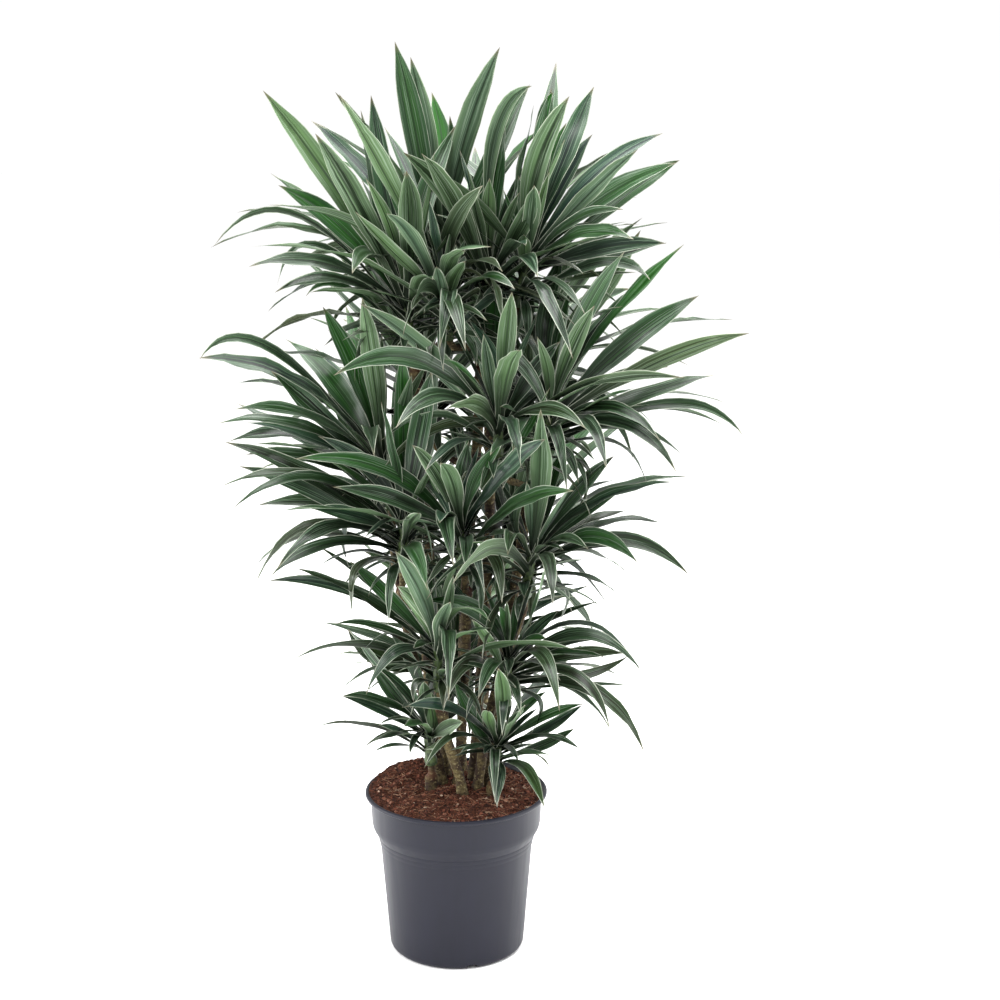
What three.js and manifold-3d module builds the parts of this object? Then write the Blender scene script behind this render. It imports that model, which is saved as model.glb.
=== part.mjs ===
// A branched dracaena with white-edged leaves, growing in a moulded nursery pot.
// Millimetres, +Z up. The origin is the middle of the pot's underside, on the surface it stands on.
// The pot holds the soil, the canes stand in plain holes in the soil, each cane carries one to three
// shoots, and each shoot is a short green stem with its rosette of arching, pointed leaves.

import * as THREE from "three";
import { mergeVertices } from "three/addons/utils/BufferGeometryUtils.js";
import Module from "manifold-3d";

const wasm = await Module();
wasm.setup();

// ---- Driving dimensions --------------------------------------------------------------------------

const POT_HEIGHT = 245;
const RIM_RADIUS = 136; // outside of the rolled lip
const RIM_DEPTH = 7; // height of the lip
const COLLAR_RADIUS = 128; // the wide band under the lip, at its top
const COLLAR_BOTTOM_RADIUS = 125.5;
const COLLAR_BOTTOM = 182; // where the band's slanted step starts
const STEP_BOTTOM = 167; // where the step meets the tapered wall
const WALL_TOP_RADIUS = 117;
const WALL_BOTTOM_RADIUS = 101;
const CORNER_RADIUS = 9; // rounded edge between wall and foot
const WALL = 2;
const RIM_BEVEL = 1; // inside edge of the lip
const PAD_RADIUS = 55; // flat middle of the underside
const CHANNEL = [60, 84]; // inner and outer radius of the raised drain channel round the pad
const CHANNEL_HEIGHT = 5;
const CHANNEL_SLOPE = 3; // width of the slope from the channel down to the foot ring
const DRAIN_HOLES = 6;
const DRAIN_HOLE_RADIUS = 6;
const DRAIN_ARCHES = 4; // gaps in the foot ring, where the channel drains
const DRAIN_ARCH_WIDTH = 30;
const DRAIN_ARCH_HEIGHT = 4.5;
const FIRST_ARCH_TURN = 10; // degrees to the right of the front
const HOLE_CUT = 20; // height of the cylinder that cuts a drain hole
const ARCH_CUT = 40; // depth of the block that cuts an arch
const POT_SIDES = 32;

const SOIL_EDGE = 236; // height of the soil against the pot wall
const SOIL_MOUND = 250; // height of the soil in the middle
const SOIL_SHRINK = 1; // how far the soil's top has drawn back from the wall
const SOIL_RELIEF = 2.5; // height of its hills and hollows
const HILLS = [0.11, 0.13]; // waves of the hills across x and y, in radians a millimetre
const HOLLOWS = [0.23, 0.19]; // the same for the smaller waves that run slantwise
const HEAP = { x: -40, y: 72, height: 13, reach: 38 }; // where the soil is heaped up at the back
const GAP = 0.3; // air between pieces that touch on the real plant

const CANE_RADIUS = 8.5;
const CANE_TOP_RADIUS = 10; // the callus round a cane's cut end
const CANE_FOOT_HEIGHT = 150; // how far down the canes reach into the soil
const CANE_SIDES = 7;
const CANE_SPAN = 95; // about how long each straight length of a cane's skin is
const BRANCH_RADIUS = 6;
const BRANCH_SIDES = 6;
const BRANCH_SPANS = 4;
const BRANCH_BELOW_TOP = 9; // how far under the cut end the topmost shoots leave a cane
const BRANCH_OUTWARD = 0.35; // how far a branch swings out, as a share of its reach
const BRANCH_ALONG = 0.3; // how far it first follows its cane
const BRANCH_INTO_STEM = 0.4; // how far it runs straight into the stem
const STEM_RADIUS = 9; // a shoot's green stem, where its leaves start
const STEM_TOP_RADIUS = 5;
const STEM_SIDES = 6;

const LEAVES_PER_SHOOT = 18;
const GOLDEN_ANGLE = 137.508; // degrees between one leaf and the next round the stem
const LEAF_LENGTH = [215, 345]; // shortest and longest grown leaf
const LEAF_WIDTH_BASE = 14; // width = base + share * length
const LEAF_WIDTH_SHARE = 0.065;
const LEAF_CLEARANCE = 0.4; // least air between two leaves, or a leaf and a cane
const LEAF_FLOOR = 262; // no leaf hangs lower than this
const CREST_SHARE = 0.6; // where along a leaf set by hand its bend is drawn from
const STEM_LEAN = 0.35; // how far the lean of the stem carries over to its leaves
const TRIES = 40; // places tried for one leaf before it is left out
const TRY_STEP = 0.7; // how much further from its place each try may move a tip
const TRY_DEPTH = 6; // how much more of that is towards or away from the front
const FIRST_SEED = 1000; // the seed of the first shoot's draws
const SEED_STEP = 77;

// The rule for the leaves that are not set by hand, as [oldest leaf, youngest leaf].
const RULE_ROOT = [0.12, 0.95]; // where on the stem the leaf starts
const RULE_RISE = [8, 82]; // degrees above level in which it sets out
const RULE_FALL = [78, 16]; // degrees by which it bends down on its way
const RULE_GROWTH = [0.2, 0.88]; // where in its growth it stands: 0.5 is the longest
const RULE_CREST = 0.52; // share of the length before the bend
const RULE_END = 0.5; // share of the length after the bend
const RULE_PLAY = { turn: 9, rise: 6, fall: 10, size: 0.08, roll: 0.35 }; // drawn spread, degrees

const COLOURS = {
  pot: { color: 0x4d5058, roughness: 0.5, metalness: 0 },
  soil: { color: 0x4f2f22, roughness: 1, metalness: 0 },
  cane: { color: 0x6b5b3a, roughness: 0.85, metalness: 0 },
  shoot: { color: 0x3f6b3c, roughness: 0.45, metalness: 0 },
};

// ---- Places on the plant -------------------------------------------------------------------------

// Each cane runs through its places, given as [x, y, z], from the soil up, and carries its shoots. A
// shoot grows from the cane's cut top, or from the side of the cane at the share of its height that
// from gives. Its green stem runs between the two points of stem, and vigour is the size of its
// leaves and how many it has, against the strongest shoots. The leaves that draw the plant's outline
// are set by hand, as [x, y and z of the tip, arch, facing]: arch is how far the leaf's bend stands
// above the straight line from root to tip, and facing is how much of its upper side (positive) or
// its underside (negative) turns to the front.
const CANES = [
  {
    name: "cane_front",
    places: [[12, -30, 258], [3, -33, 278], [-9, -38, 312], [-16, -45, 361], [-22, -52, 392]],
    shoots: [
      {
        name: "shoot_lower_left",
        vigour: 0.85,
        stem: [[-23, -58, 418], [-26, -80, 494]],
        leaves: [
          [15, -110, 640, 11, 0.3], [-175, 20, 500, 18, 0.1], [-15, -150, 585, 8, -0.6],
          [-40, -20, 615, 6, 0.3], [-125, -150, 440, 60, 0.5], [-15, -235, 475, 76, 0.3],
          [-150, -60, 610, 8, 0.6], [-140, -40, 465, 40, 0], [45, -230, 560, 36, 0.4],
          [-80, -110, 605, 10, -0.5],
        ],
      },
    ],
  },
  {
    name: "cane_left_stub",
    places: [[-37, -8, 246], [-37, -10, 271]],
    shoots: [
      {
        name: "shoot_low_left",
        vigour: 0.7,
        stem: [[-37, -10, 288], [-43, -20, 351]],
        leaves: [
          [-165, -60, 410, 20, 0.4], [-110, -120, 385, 18, 0.3], [-160, 40, 480, 10, -0.7],
          [-125, -20, 445, 11, 0.6], [-45, -90, 440, 5, 0.6],
        ],
      },
    ],
  },
  {
    name: "cane_right_stub",
    places: [[53, -28, 251], [56, -31, 265]],
    shoots: [
      {
        name: "shoot_low_front",
        vigour: 0.75,
        stem: [[59, -34, 280], [61, -58, 339]],
        leaves: [
          [35, -20, 355, 6, 0.5], [130, -30, 410, 11, 0.4], [-70, -130, 415, 24, 0.5],
          [-45, -160, 335, 36, 0.3], [55, -130, 270, 56, 0.4], [45, -150, 415, 10, -0.3],
          [180, -90, 405, 16, 0.5], [185, -100, 335, 26, 0.3], [140, -20, 280, 24, 0.1],
          [95, -60, 420, 6, 0.6],
        ],
      },
    ],
  },
  {
    name: "cane_right",
    places: [
      [31, -12, 245], [37, -14, 304], [50, -20, 368], [67, -28, 439], [84, -36, 494],
      [94, -42, 528],
    ],
    shoots: [
      {
        name: "shoot_lower_right",
        from: 0.42,
        stem: [[71, -58, 400], [76, -80, 476]],
        leaves: [
          [90, -170, 415, 22, 0.5], [125, -150, 520, 11, 0.5], [270, -110, 450, 68, 0.5],
          [245, -60, 470, 16, 0.5], [265, -150, 350, 60, 0.5], [215, -160, 390, 48, 0.5],
          [140, -230, 440, 60, 0.5], [255, -40, 420, 28, 0.1], [30, -220, 455, 36, 0.2],
          [150, -40, 530, 10, 0.5], [60, -150, 565, 10, 0.6],
        ],
      },
      {
        name: "shoot_mid_right",
        stem: [[100, -50, 555], [110, -72, 628]],
        leaves: [
          [260, 40, 660, 18, 0.3], [225, -60, 760, 10, 0.7], [250, -20, 710, 18, 0.6],
          [155, -20, 760, 6, 0.6], [250, -170, 630, 32, 0.5], [330, -100, 595, 52, 0.5],
          [305, -20, 650, 24, 0.1], [295, 30, 600, 32, 0.1], [240, -60, 550, 24, 0.2],
          [130, -235, 585, 48, 0.6], [70, -220, 655, 36, 0.5], [180, -190, 655, 24, 0.5],
        ],
      },
    ],
  },
  {
    name: "cane_left",
    places: [
      [-20, 10, 239], [-30, 8, 303], [-46, 4, 383], [-65, -4, 462], [-76, -14, 532],
      [-78, -20, 558],
    ],
    shoots: [
      {
        name: "shoot_mid_left",
        stem: [[-75, -38, 592], [-72, -66, 664]],
        leaves: [
          [-295, -20, 585, 48, 0.2], [-30, -120, 890, 8, -0.8], [-330, -80, 720, 60, 0.3],
          [-310, -120, 695, 68, 0.4], [-240, -190, 630, 48, 0.5], [-280, -110, 585, 68, 0.3],
          [-195, -150, 705, 16, 0.6], [-255, -150, 605, 36, 0.4],
        ],
      },
      {
        name: "shoot_left_upper",
        stem: [[-93, 15, 672], [-106, 15, 743]],
        leaves: [
          [-335, 60, 760, 32, 0.2], [-360, -20, 895, 48, 0.2], [-325, 40, 850, 44, 0.3],
          [-250, -40, 885, 6, 0.7], [-285, -70, 815, 16, 0.5], [-185, 0, 965, 6, 0.6],
          [-345, -40, 800, 36, 0.3], [-295, -110, 840, 32, 0.3], [-105, -225, 790, 56, 0.6],
          [-135, -40, 980, 8, 0.7], [-305, -20, 755, 32, 0.3],
        ],
      },
    ],
  },
  {
    name: "cane_centre",
    places: [
      [3, 8, 240], [7, 5, 320], [12, 0, 400], [15, -12, 480], [16, -30, 545], [16, -36, 562],
    ],
    shoots: [
      {
        name: "shoot_mid_centre",
        stem: [[13, -58, 591], [7, -84, 663]],
        leaves: [
          [20, -110, 790, 6, -0.6], [40, -190, 590, 48, 0.4], [-60, -190, 805, 11, -0.6],
          [-15, -205, 785, 14, -0.6], [120, -210, 810, 11, 0.6], [-20, -270, 710, 24, 0.4],
          [-5, -255, 655, 60, 0.5], [55, -220, 580, 48, 0.4],
        ],
      },
    ],
  },
  {
    name: "cane_tall_centre",
    places: [
      [24, 22, 235], [30, 25, 313], [39, 25, 438], [47, 22, 562], [52, 15, 684], [50, 8, 803],
      [46, 5, 883], [44, 5, 907],
    ],
    shoots: [
      {
        name: "shoot_top_centre",
        stem: [[48, 6, 944], [52, 0, 1015]],
        leaves: [
          [50, -50, 1145, 6, 0.8], [110, -190, 1020, 36, 0.5], [115, -130, 1130, 8, -0.8],
          [95, -170, 1060, 28, 0.3], [-65, -150, 1180, 10, -0.8],
        ],
      },
      {
        name: "shoot_top_right",
        stem: [[92, -14, 966], [103, -26, 1036]],
        leaves: [
          [230, 60, 1130, 11, 0.5], [275, -20, 1005, 24, 0.4], [135, -30, 1265, 8, -0.5],
          [140, -90, 1245, 10, -0.8], [200, 60, 1270, 24, 0.2], [155, 0, 1215, 6, 0.7],
          [195, 20, 1205, 11, 0.6], [290, -10, 1210, 22, 0.4], [245, -110, 1185, 11, -0.8],
          [305, -60, 1170, 18, 0.7], [265, 30, 1115, 21, 0.2], [225, -120, 1105, 24, 0.6],
          [235, -170, 1070, 32, 0.6], [295, -40, 1055, 14, 0.7],
        ],
      },
      {
        name: "shoot_top_front",
        stem: [[-8, -50, 925], [-15, -74, 989]],
        leaves: [
          [15, -205, 1055, 20, -0.6], [80, -190, 1005, 28, 0.2], [15, -245, 930, 52, 0.6],
          [-20, -225, 930, 56, 0.7],
        ],
      },
    ],
  },
  {
    name: "cane_tall_left",
    places: [
      [-14, 40, 228], [-21, 42, 323], [-30, 38, 450], [-38, 30, 590], [-45, 15, 713],
      [-52, 0, 818], [-54, -8, 866], [-55, -10, 880],
    ],
    shoots: [
      {
        name: "shoot_top_left",
        stem: [[-61, -18, 907], [-66, -34, 976]],
        leaves: [
          [-250, -110, 1260, 6, -0.8], [-175, -160, 1200, 8, -0.7], [-235, -90, 1135, 11, 0.7],
          [-110, -60, 1255, 6, 0.7], [-65, -190, 1160, 11, 0.6], [-335, -40, 1050, 68, 0.3],
          [-305, 30, 1095, 56, 0.1], [-280, -70, 1030, 48, 0.5], [-240, -130, 1000, 60, 0.4],
          [-260, -30, 960, 52, 0.2], [-135, -215, 1020, 68, 0.5],
        ],
      },
      {
        name: "shoot_top_back",
        stem: [[-13, 42, 940], [-22, 50, 1017]],
        leaves: [
          [-80, 30, 1330, 5, 0.8], [-60, 70, 1310, 5, 0.7], [65, -20, 1320, 13, -0.7],
          [105, -40, 1270, 11, 0.7], [-45, 90, 1250, 5, 0.7], [-20, 150, 1260, 13, 0.2],
          [-140, 140, 1110, 32, 0.2],
        ],
      },
    ],
  },
  {
    name: "cane_far_right",
    places: [
      [47, 8, 240], [57, 10, 334], [71, 5, 444], [85, 0, 537], [94, -8, 605], [102, -15, 675],
      [107, -22, 712],
    ],
    shoots: [
      {
        name: "shoot_right_upper",
        stem: [[122, -36, 746], [133, -55, 820]],
        leaves: [
          [280, -150, 795, 48, 0.5], [155, 0, 1055, 6, 0.5], [230, -120, 1050, 10, -0.8],
          [185, -160, 980, 8, -0.8], [280, 60, 990, 24, 0.1], [340, -60, 985, 11, 0.8],
          [415, -40, 930, 24, -0.7], [360, -80, 875, 22, 0.6], [310, 20, 875, 24, 0.5],
          [395, 30, 820, 36, 0.1], [400, -90, 795, 60, -0.5], [325, -60, 760, 56, 0.4],
          [300, -170, 755, 52, 0.6], [280, -20, 690, 56, 0.2], [200, -225, 770, 48, 0.4],
          [155, -200, 735, 68, 0.4],
        ],
      },
      {
        name: "shoot_centre_upper",
        stem: [[59, -78, 751], [62, -104, 820]],
        leaves: [
          [170, -250, 830, 34, 0.6], [120, -20, 1045, 8, -0.5], [80, -10, 1030, 5, 0.6],
          [75, -225, 1005, 11, -0.9], [-20, -130, 980, 13, 0.6], [-155, -250, 900, 56, 0.6],
          [-75, -270, 835, 44, 0.6], [-15, -200, 915, 16, 0.5], [145, -40, 935, 8, 0.6],
          [85, -290, 785, 48, 0.4],
        ],
      },
    ],
  },
  {
    name: "cane_back",
    places: [
      [9, 60, 220], [9, 65, 315], [11, 70, 425], [15, 75, 517], [21, 80, 609], [30, 85, 700],
      [36, 88, 790], [38, 90, 842], [40, 92, 864],
    ],
    shoots: [
      { name: "shoot_back_top", stem: [[33, 108, 907], [39, 130, 976]], leaves: [] },
      { name: "shoot_back_right_upper", from: 0.84, stem: [[104, 100, 800], [121, 122, 869]], leaves: [] },
      { name: "shoot_back_left_upper", from: 0.78, stem: [[-33, 112, 756], [-48, 136, 822]], leaves: [] },
    ],
  },
  {
    name: "cane_back_right",
    places: [[34, 75, 215], [37, 80, 294], [44, 86, 372], [52, 92, 450], [56, 95, 493]],
    shoots: [
      { name: "shoot_back_right_mid", stem: [[76, 112, 542], [92, 140, 608]], leaves: [] },
      { name: "shoot_back_low", from: 0.55, vigour: 0.8, stem: [[19, 118, 365], [12, 146, 428]], leaves: [] },
    ],
  },
  {
    name: "cane_back_left",
    places: [[-23, 78, 213], [-31, 80, 294], [-40, 84, 373], [-46, 88, 451], [-47, 90, 479]],
    shoots: [
      { name: "shoot_back_left_mid", stem: [[-56, 100, 557], [-72, 122, 628]], leaves: [] },
      {
        name: "shoot_back_left_low",
        from: 0.42,
        vigour: 0.8,
        stem: [[-12, 108, 352], [-3, 124, 424]],
        leaves: [],
      },
    ],
  },
];

// ---- Seeded draws --------------------------------------------------------------------------------

// A Lehmer generator: each call gives the next number from 0 to 1, the same on every run.
function draws(seed) {
  let state = seed;
  return () => {
    state = (state * 48271) % 2147483647;
    return state / 2147483647;
  };
}

const { degToRad, lerp, clamp } = THREE.MathUtils;

const spread = (draw, reach) => (draw() * 2 - 1) * reach;

const point = ([x, y, z]) => new THREE.Vector3(x, y, z);

// ---- Solids --------------------------------------------------------------------------------------

function solidOf(geometry) {
  geometry.deleteAttribute("normal");
  geometry.deleteAttribute("uv");
  const merged = mergeVertices(geometry, 1e-4);
  return new wasm.Manifold(
    new wasm.Mesh({
      numProp: 3,
      vertProperties: new Float32Array(merged.attributes.position.array),
      triVerts: new Uint32Array(merged.index.array),
    }),
  );
}

function meshOf(name, solid, finish) {
  const { vertProperties, triVerts } = solid.getMesh();
  const geometry = new THREE.BufferGeometry();
  geometry.setAttribute("position", new THREE.BufferAttribute(vertProperties, 3));
  geometry.setIndex(new THREE.BufferAttribute(triVerts, 1));
  geometry.computeVertexNormals();
  const mesh = new THREE.Mesh(geometry, new THREE.MeshStandardMaterial(finish));
  mesh.name = name;
  return mesh;
}

// A closed skin over stations along a curve. A profile point [reach, station] lies on the station's
// axis (reach 0) or on its section (reach 1). A station gives its centre, the directions across and
// up, and section, which turns a corner's angle into the distances across and up.
function skin(profile, sides, stations) {
  const points = profile.map(([reach, at]) => new THREE.Vector2(reach, at));
  const geometry = new THREE.LatheGeometry(points, sides);
  const position = geometry.getAttribute("position");
  for (let i = 0; i < position.count; i++) {
    const [x, y, z] = [position.getX(i), position.getY(i), position.getZ(i)];
    const { centre, across, up, section } = stations[Math.round(y)];
    const corner = (Math.round((Math.atan2(x, z) / (2 * Math.PI)) * sides) + sides) % sides;
    const onAxis = Math.hypot(x, z) < 0.5;
    const [sideways, upwards] = onAxis ? [0, 0] : section((corner / sides) * 2 * Math.PI);
    const moved = centre.clone().addScaledVector(across, sideways).addScaledVector(up, upwards);
    position.setXYZ(i, moved.x, moved.y, moved.z);
  }
  return solidOf(geometry);
}

// A round tube along a curve, with a radius for each share of its length. It starts a little before
// the curve where before is given.
function tube(curve, sides, spans, radiusAt, before = 0) {
  const frames = curve.computeFrenetFrames(spans, false);
  const stations = frames.tangents.map((tangent, i) => ({
    centre: curve.getPointAt(i / spans).addScaledVector(tangent, i === 0 ? -before : 0),
    across: frames.normals[i],
    up: new THREE.Vector3().crossVectors(frames.normals[i], tangent),
    section: (angle) => {
      const radius = radiusAt(i / spans);
      return [Math.sin(angle) * radius, Math.cos(angle) * radius];
    },
  }));
  const profile = [[0, 0], ...stations.map((_, i) => [1, i]), [0, spans]];
  return skin(profile, sides, stations);
}

const joined = (solids) => solids.reduce((sum, solid) => sum.add(solid));

// ---- Pot -----------------------------------------------------------------------------------------

// Profile points on an arc round (x, z), from one angle to another in degrees.
function arc(x, z, radius, from, to, steps) {
  return Array.from({ length: steps + 1 }, (_, i) => {
    const angle = degToRad(from + ((to - from) * i) / steps);
    return new THREE.Vector2(x + radius * Math.cos(angle), z + radius * Math.sin(angle));
  });
}

const lathe = (points) => solidOf(new THREE.LatheGeometry(points, POT_SIDES).rotateX(Math.PI / 2));

// The pot's inner wall from the floor up, drawn in by the given distance.
function innerWall(inset) {
  const wall = WALL + inset;
  return [
    new THREE.Vector2(WALL_BOTTOM_RADIUS - wall, CHANNEL_HEIGHT + wall),
    new THREE.Vector2(WALL_TOP_RADIUS - wall, STEP_BOTTOM + wall / 2),
    new THREE.Vector2(COLLAR_BOTTOM_RADIUS - wall, COLLAR_BOTTOM + wall / 2),
  ];
}

function pot() {
  const [channelIn, channelOut] = CHANNEL;
  const lip = RIM_DEPTH / 2;
  const profile = [
    new THREE.Vector2(0, 0),
    new THREE.Vector2(PAD_RADIUS, 0),
    new THREE.Vector2(channelIn, CHANNEL_HEIGHT),
    new THREE.Vector2(channelOut, CHANNEL_HEIGHT),
    new THREE.Vector2(channelOut + CHANNEL_SLOPE, 0),
    ...arc(WALL_BOTTOM_RADIUS - CORNER_RADIUS, CORNER_RADIUS, CORNER_RADIUS, -90, 0, 2),
    new THREE.Vector2(WALL_TOP_RADIUS, STEP_BOTTOM),
    new THREE.Vector2(COLLAR_BOTTOM_RADIUS, COLLAR_BOTTOM),
    new THREE.Vector2(COLLAR_RADIUS, POT_HEIGHT - RIM_DEPTH),
    ...arc(RIM_RADIUS - lip, POT_HEIGHT - lip, lip, -90, 90, 4),
    new THREE.Vector2(COLLAR_RADIUS - WALL + RIM_BEVEL, POT_HEIGHT - RIM_BEVEL),
    ...innerWall(0).reverse(),
    new THREE.Vector2(0, CHANNEL_HEIGHT + WALL),
  ];
  let body = lathe(profile);
  for (let i = 0; i < DRAIN_HOLES; i++) {
    const hole = new THREE.CylinderGeometry(DRAIN_HOLE_RADIUS, DRAIN_HOLE_RADIUS, HOLE_CUT, 8);
    hole.rotateX(Math.PI / 2).translate((channelIn + channelOut) / 2, 0, CHANNEL_HEIGHT);
    body = body.subtract(solidOf(hole.rotateZ(((i + 0.5) / DRAIN_HOLES) * 2 * Math.PI)));
  }
  for (let i = 0; i < DRAIN_ARCHES; i++) {
    const turn = FIRST_ARCH_TURN + (i / DRAIN_ARCHES) * 360;
    const arch = new THREE.BoxGeometry(DRAIN_ARCH_WIDTH, ARCH_CUT, 2 * DRAIN_ARCH_HEIGHT);
    arch.translate(0, -WALL_BOTTOM_RADIUS, 0).rotateZ(degToRad(turn));
    body = body.subtract(solidOf(arch));
  }
  return body;
}

// ---- Soil ----------------------------------------------------------------------------------------

// Small hills and hollows on the soil, fading out against the pot.
function soilHeight(x, y) {
  const outward = Math.min(1, Math.hypot(x, y) / COLLAR_RADIUS);
  const mound = SOIL_EDGE + (SOIL_MOUND - SOIL_EDGE) * (1 - outward ** 2);
  const hills = Math.sin(x * HILLS[0] + 1) * Math.cos(y * HILLS[1]);
  const hollows = Math.sin(x * HOLLOWS[0] - y * HOLLOWS[1]) / 2;
  const heap = HEAP.height * Math.exp(-(Math.hypot(x - HEAP.x, y - HEAP.y) ** 2) / HEAP.reach ** 2);
  return mound + (SOIL_RELIEF * (hills + hollows) + heap) * (1 - outward ** 4);
}

function soil(sockets) {
  const edge = COLLAR_RADIUS - WALL - GAP - SOIL_SHRINK;
  const top = [1, 0.75, 0.5, 0.25].map((share) => new THREE.Vector2(edge * share, SOIL_EDGE));
  const floor = CHANNEL_HEIGHT + WALL + GAP;
  const body = new THREE.LatheGeometry(
    [new THREE.Vector2(0, floor), ...innerWall(GAP), ...top, new THREE.Vector2(0, SOIL_EDGE)],
    POT_SIDES,
  ).rotateX(Math.PI / 2);
  const position = body.getAttribute("position");
  for (let i = 0; i < position.count; i++) {
    if (position.getZ(i) < SOIL_EDGE) continue;
    position.setZ(i, soilHeight(position.getX(i), position.getY(i)));
  }
  return sockets.reduce((sum, socket) => sum.subtract(socket), solidOf(body));
}

// ---- Canes and branches --------------------------------------------------------------------------

function caneCurve(places) {
  const points = places.map(point);
  const foot = points[0].clone().setZ(CANE_FOOT_HEIGHT);
  return new THREE.CatmullRomCurve3([foot, ...points], false, "centripetal");
}

function caneTube(curve, extra) {
  const spans = Math.max(4, Math.round(curve.getLength() / CANE_SPAN));
  const radiusAt = (share) => extra + (share === 1 ? CANE_TOP_RADIUS : CANE_RADIUS);
  return tube(curve, CANE_SIDES, spans, radiusAt, extra);
}

// The hole in the soil that a cane stands in: the cane itself, a gap larger all round.
const socketOf = (curve) => caneTube(curve, GAP);

// A branch leaves the side of the cane under its cut end and curves up into the shoot's stem.
function branchCurve(curve, shoot) {
  const [seat, heart] = shoot.stem.map(point);
  const axis = heart.clone().sub(seat).normalize();
  const end = seat.clone().addScaledVector(axis, -GAP);
  const share = shoot.from ?? 1 - BRANCH_BELOW_TOP / curve.getLength();
  const start = curve.getPointAt(share);
  const reach = start.distanceTo(end);
  const outward = end.clone().sub(start).setZ(0).normalize();
  const bend = start.clone().addScaledVector(outward, reach * BRANCH_OUTWARD);
  bend.addScaledVector(curve.getTangentAt(share), reach * BRANCH_ALONG);
  const approach = end.clone().addScaledVector(axis, -reach * BRANCH_INTO_STEM);
  return new THREE.CubicBezierCurve3(start, bend, approach, end);
}

// ---- Leaves --------------------------------------------------------------------------------------

// Stations along a leaf: the share of its length, its width there as a share of the widest, and how
// far the keel under its midrib stands down. The leaf is a point at its root, inside the stem, and
// at its tip.
const OUTLINE = [
  { at: 0, width: 0, keel: 0 },
  { at: 0.14, width: 0.42, keel: 2 },
  { at: 0.4, width: 0.98, keel: 1.4 },
  { at: 0.7, width: 0.82, keel: 1.1 },
  { at: 1, width: 0, keel: 0 },
];
const ROOT_DEPTH = 1.5; // how far into the stem the root reaches, as a share of the stem's radius
const CORNERS = 3; // a blade's section: its two edges and its keel
const EDGE_ANGLE = (2 * Math.PI) / CORNERS;
const LEAST_SKEW = degToRad(45); // between a leaf's run and the direction across it, anywhere

// The blade is a long closed skin over the leaf's stations, flat above and keeled below. A leaf is a
// curve from its root over its crest to its tip, the direction across it, and its greatest width. One
// direction across serves the whole leaf, so every stretch of its upper side is one flat face, and
// the keel stays under it.
function blade({ curve, across, width: widest }) {
  const stations = OUTLINE.map(({ at, width, keel }) => ({
    centre: curve.getPoint(at),
    across,
    up: new THREE.Vector3().crossVectors(across, curve.getTangent(at)).normalize(),
    section: (angle) => [
      ((-Math.sin(angle) / Math.sin(EDGE_ANGLE)) * width * widest) / 2,
      (-keel * (Math.cos(angle) - Math.cos(EDGE_ANGLE))) / (1 - Math.cos(EDGE_ANGLE)),
    ],
  }));
  const profile = OUTLINE.map(({ width }, i) => [width > 0 ? 1 : 0, i]);
  return skin(profile, CORNERS, stations);
}

// Whether a leaf runs too nearly along the direction across it at some station.
function isSkewed({ curve, across }) {
  const most = Math.cos(LEAST_SKEW);
  return OUTLINE.some(({ at }) => Math.abs(curve.getTangent(at).dot(across)) > most);
}

// Where a leaf's root lies inside its stem, at a share of the stem's height.
function rootOf(seat, heart, share, outward) {
  const axis = heart.clone().sub(seat).normalize();
  const side = outward.clone().addScaledVector(axis, -outward.dot(axis)).normalize();
  const radius = lerp(STEM_RADIUS, STEM_TOP_RADIUS, share);
  return seat.clone().lerp(heart, share).addScaledVector(side, radius * (1 - ROOT_DEPTH));
}

// A leaf whose upper side faces straight up from its own arch, rolled about its length, and then
// turned by facing towards the front, or its underside where facing is negative.
function leafOf(root, crest, tip, vigour, roll, facing = 0) {
  const curve = new THREE.QuadraticBezierCurve3(root, crest, tip);
  const along = tip.clone().sub(root).normalize();
  const upper = new THREE.Vector3(0, 0, 1).addScaledVector(along, -along.z).normalize();
  upper.applyAxisAngle(along, roll).multiplyScalar(1 - Math.abs(facing));
  upper.add(new THREE.Vector3(0, -facing, 0));
  const across = new THREE.Vector3().crossVectors(along, upper).normalize();
  const width = LEAF_WIDTH_BASE + LEAF_WIDTH_SHARE * curve.getLength();
  return { curve, across, width: width * Math.sqrt(vigour) };
}

// A leaf set by hand. Each further try moves its tip and its root a little more.
function placedLeaf(shoot, [x, y, z, arch, facing], attempt) {
  const { draw, seat, heart, axis, vigour } = shoot;
  const shift = attempt * TRY_STEP;
  const depth = shift * TRY_DEPTH;
  const tip = point([x + spread(draw, shift), y + spread(draw, depth), z + spread(draw, shift)]);
  const chord = tip.clone().sub(seat).normalize();
  const steepness = 0.35 + 0.55 * chord.dot(axis) + spread(draw, 0.02 + 0.01 * attempt);
  const root = rootOf(seat, heart, clamp(steepness, 0.1, 0.95), chord);
  const along = tip.clone().sub(root).normalize();
  const upward = new THREE.Vector3(0, 0, 1).addScaledVector(along, -along.z).normalize();
  const height = 2 * arch * (1 + spread(draw, 0.02 * attempt));
  const crest = root.clone().lerp(tip, CREST_SHARE).addScaledVector(upward, height);
  return leafOf(root, crest, tip, vigour, spread(draw, 0.03 * attempt), facing);
}

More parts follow.
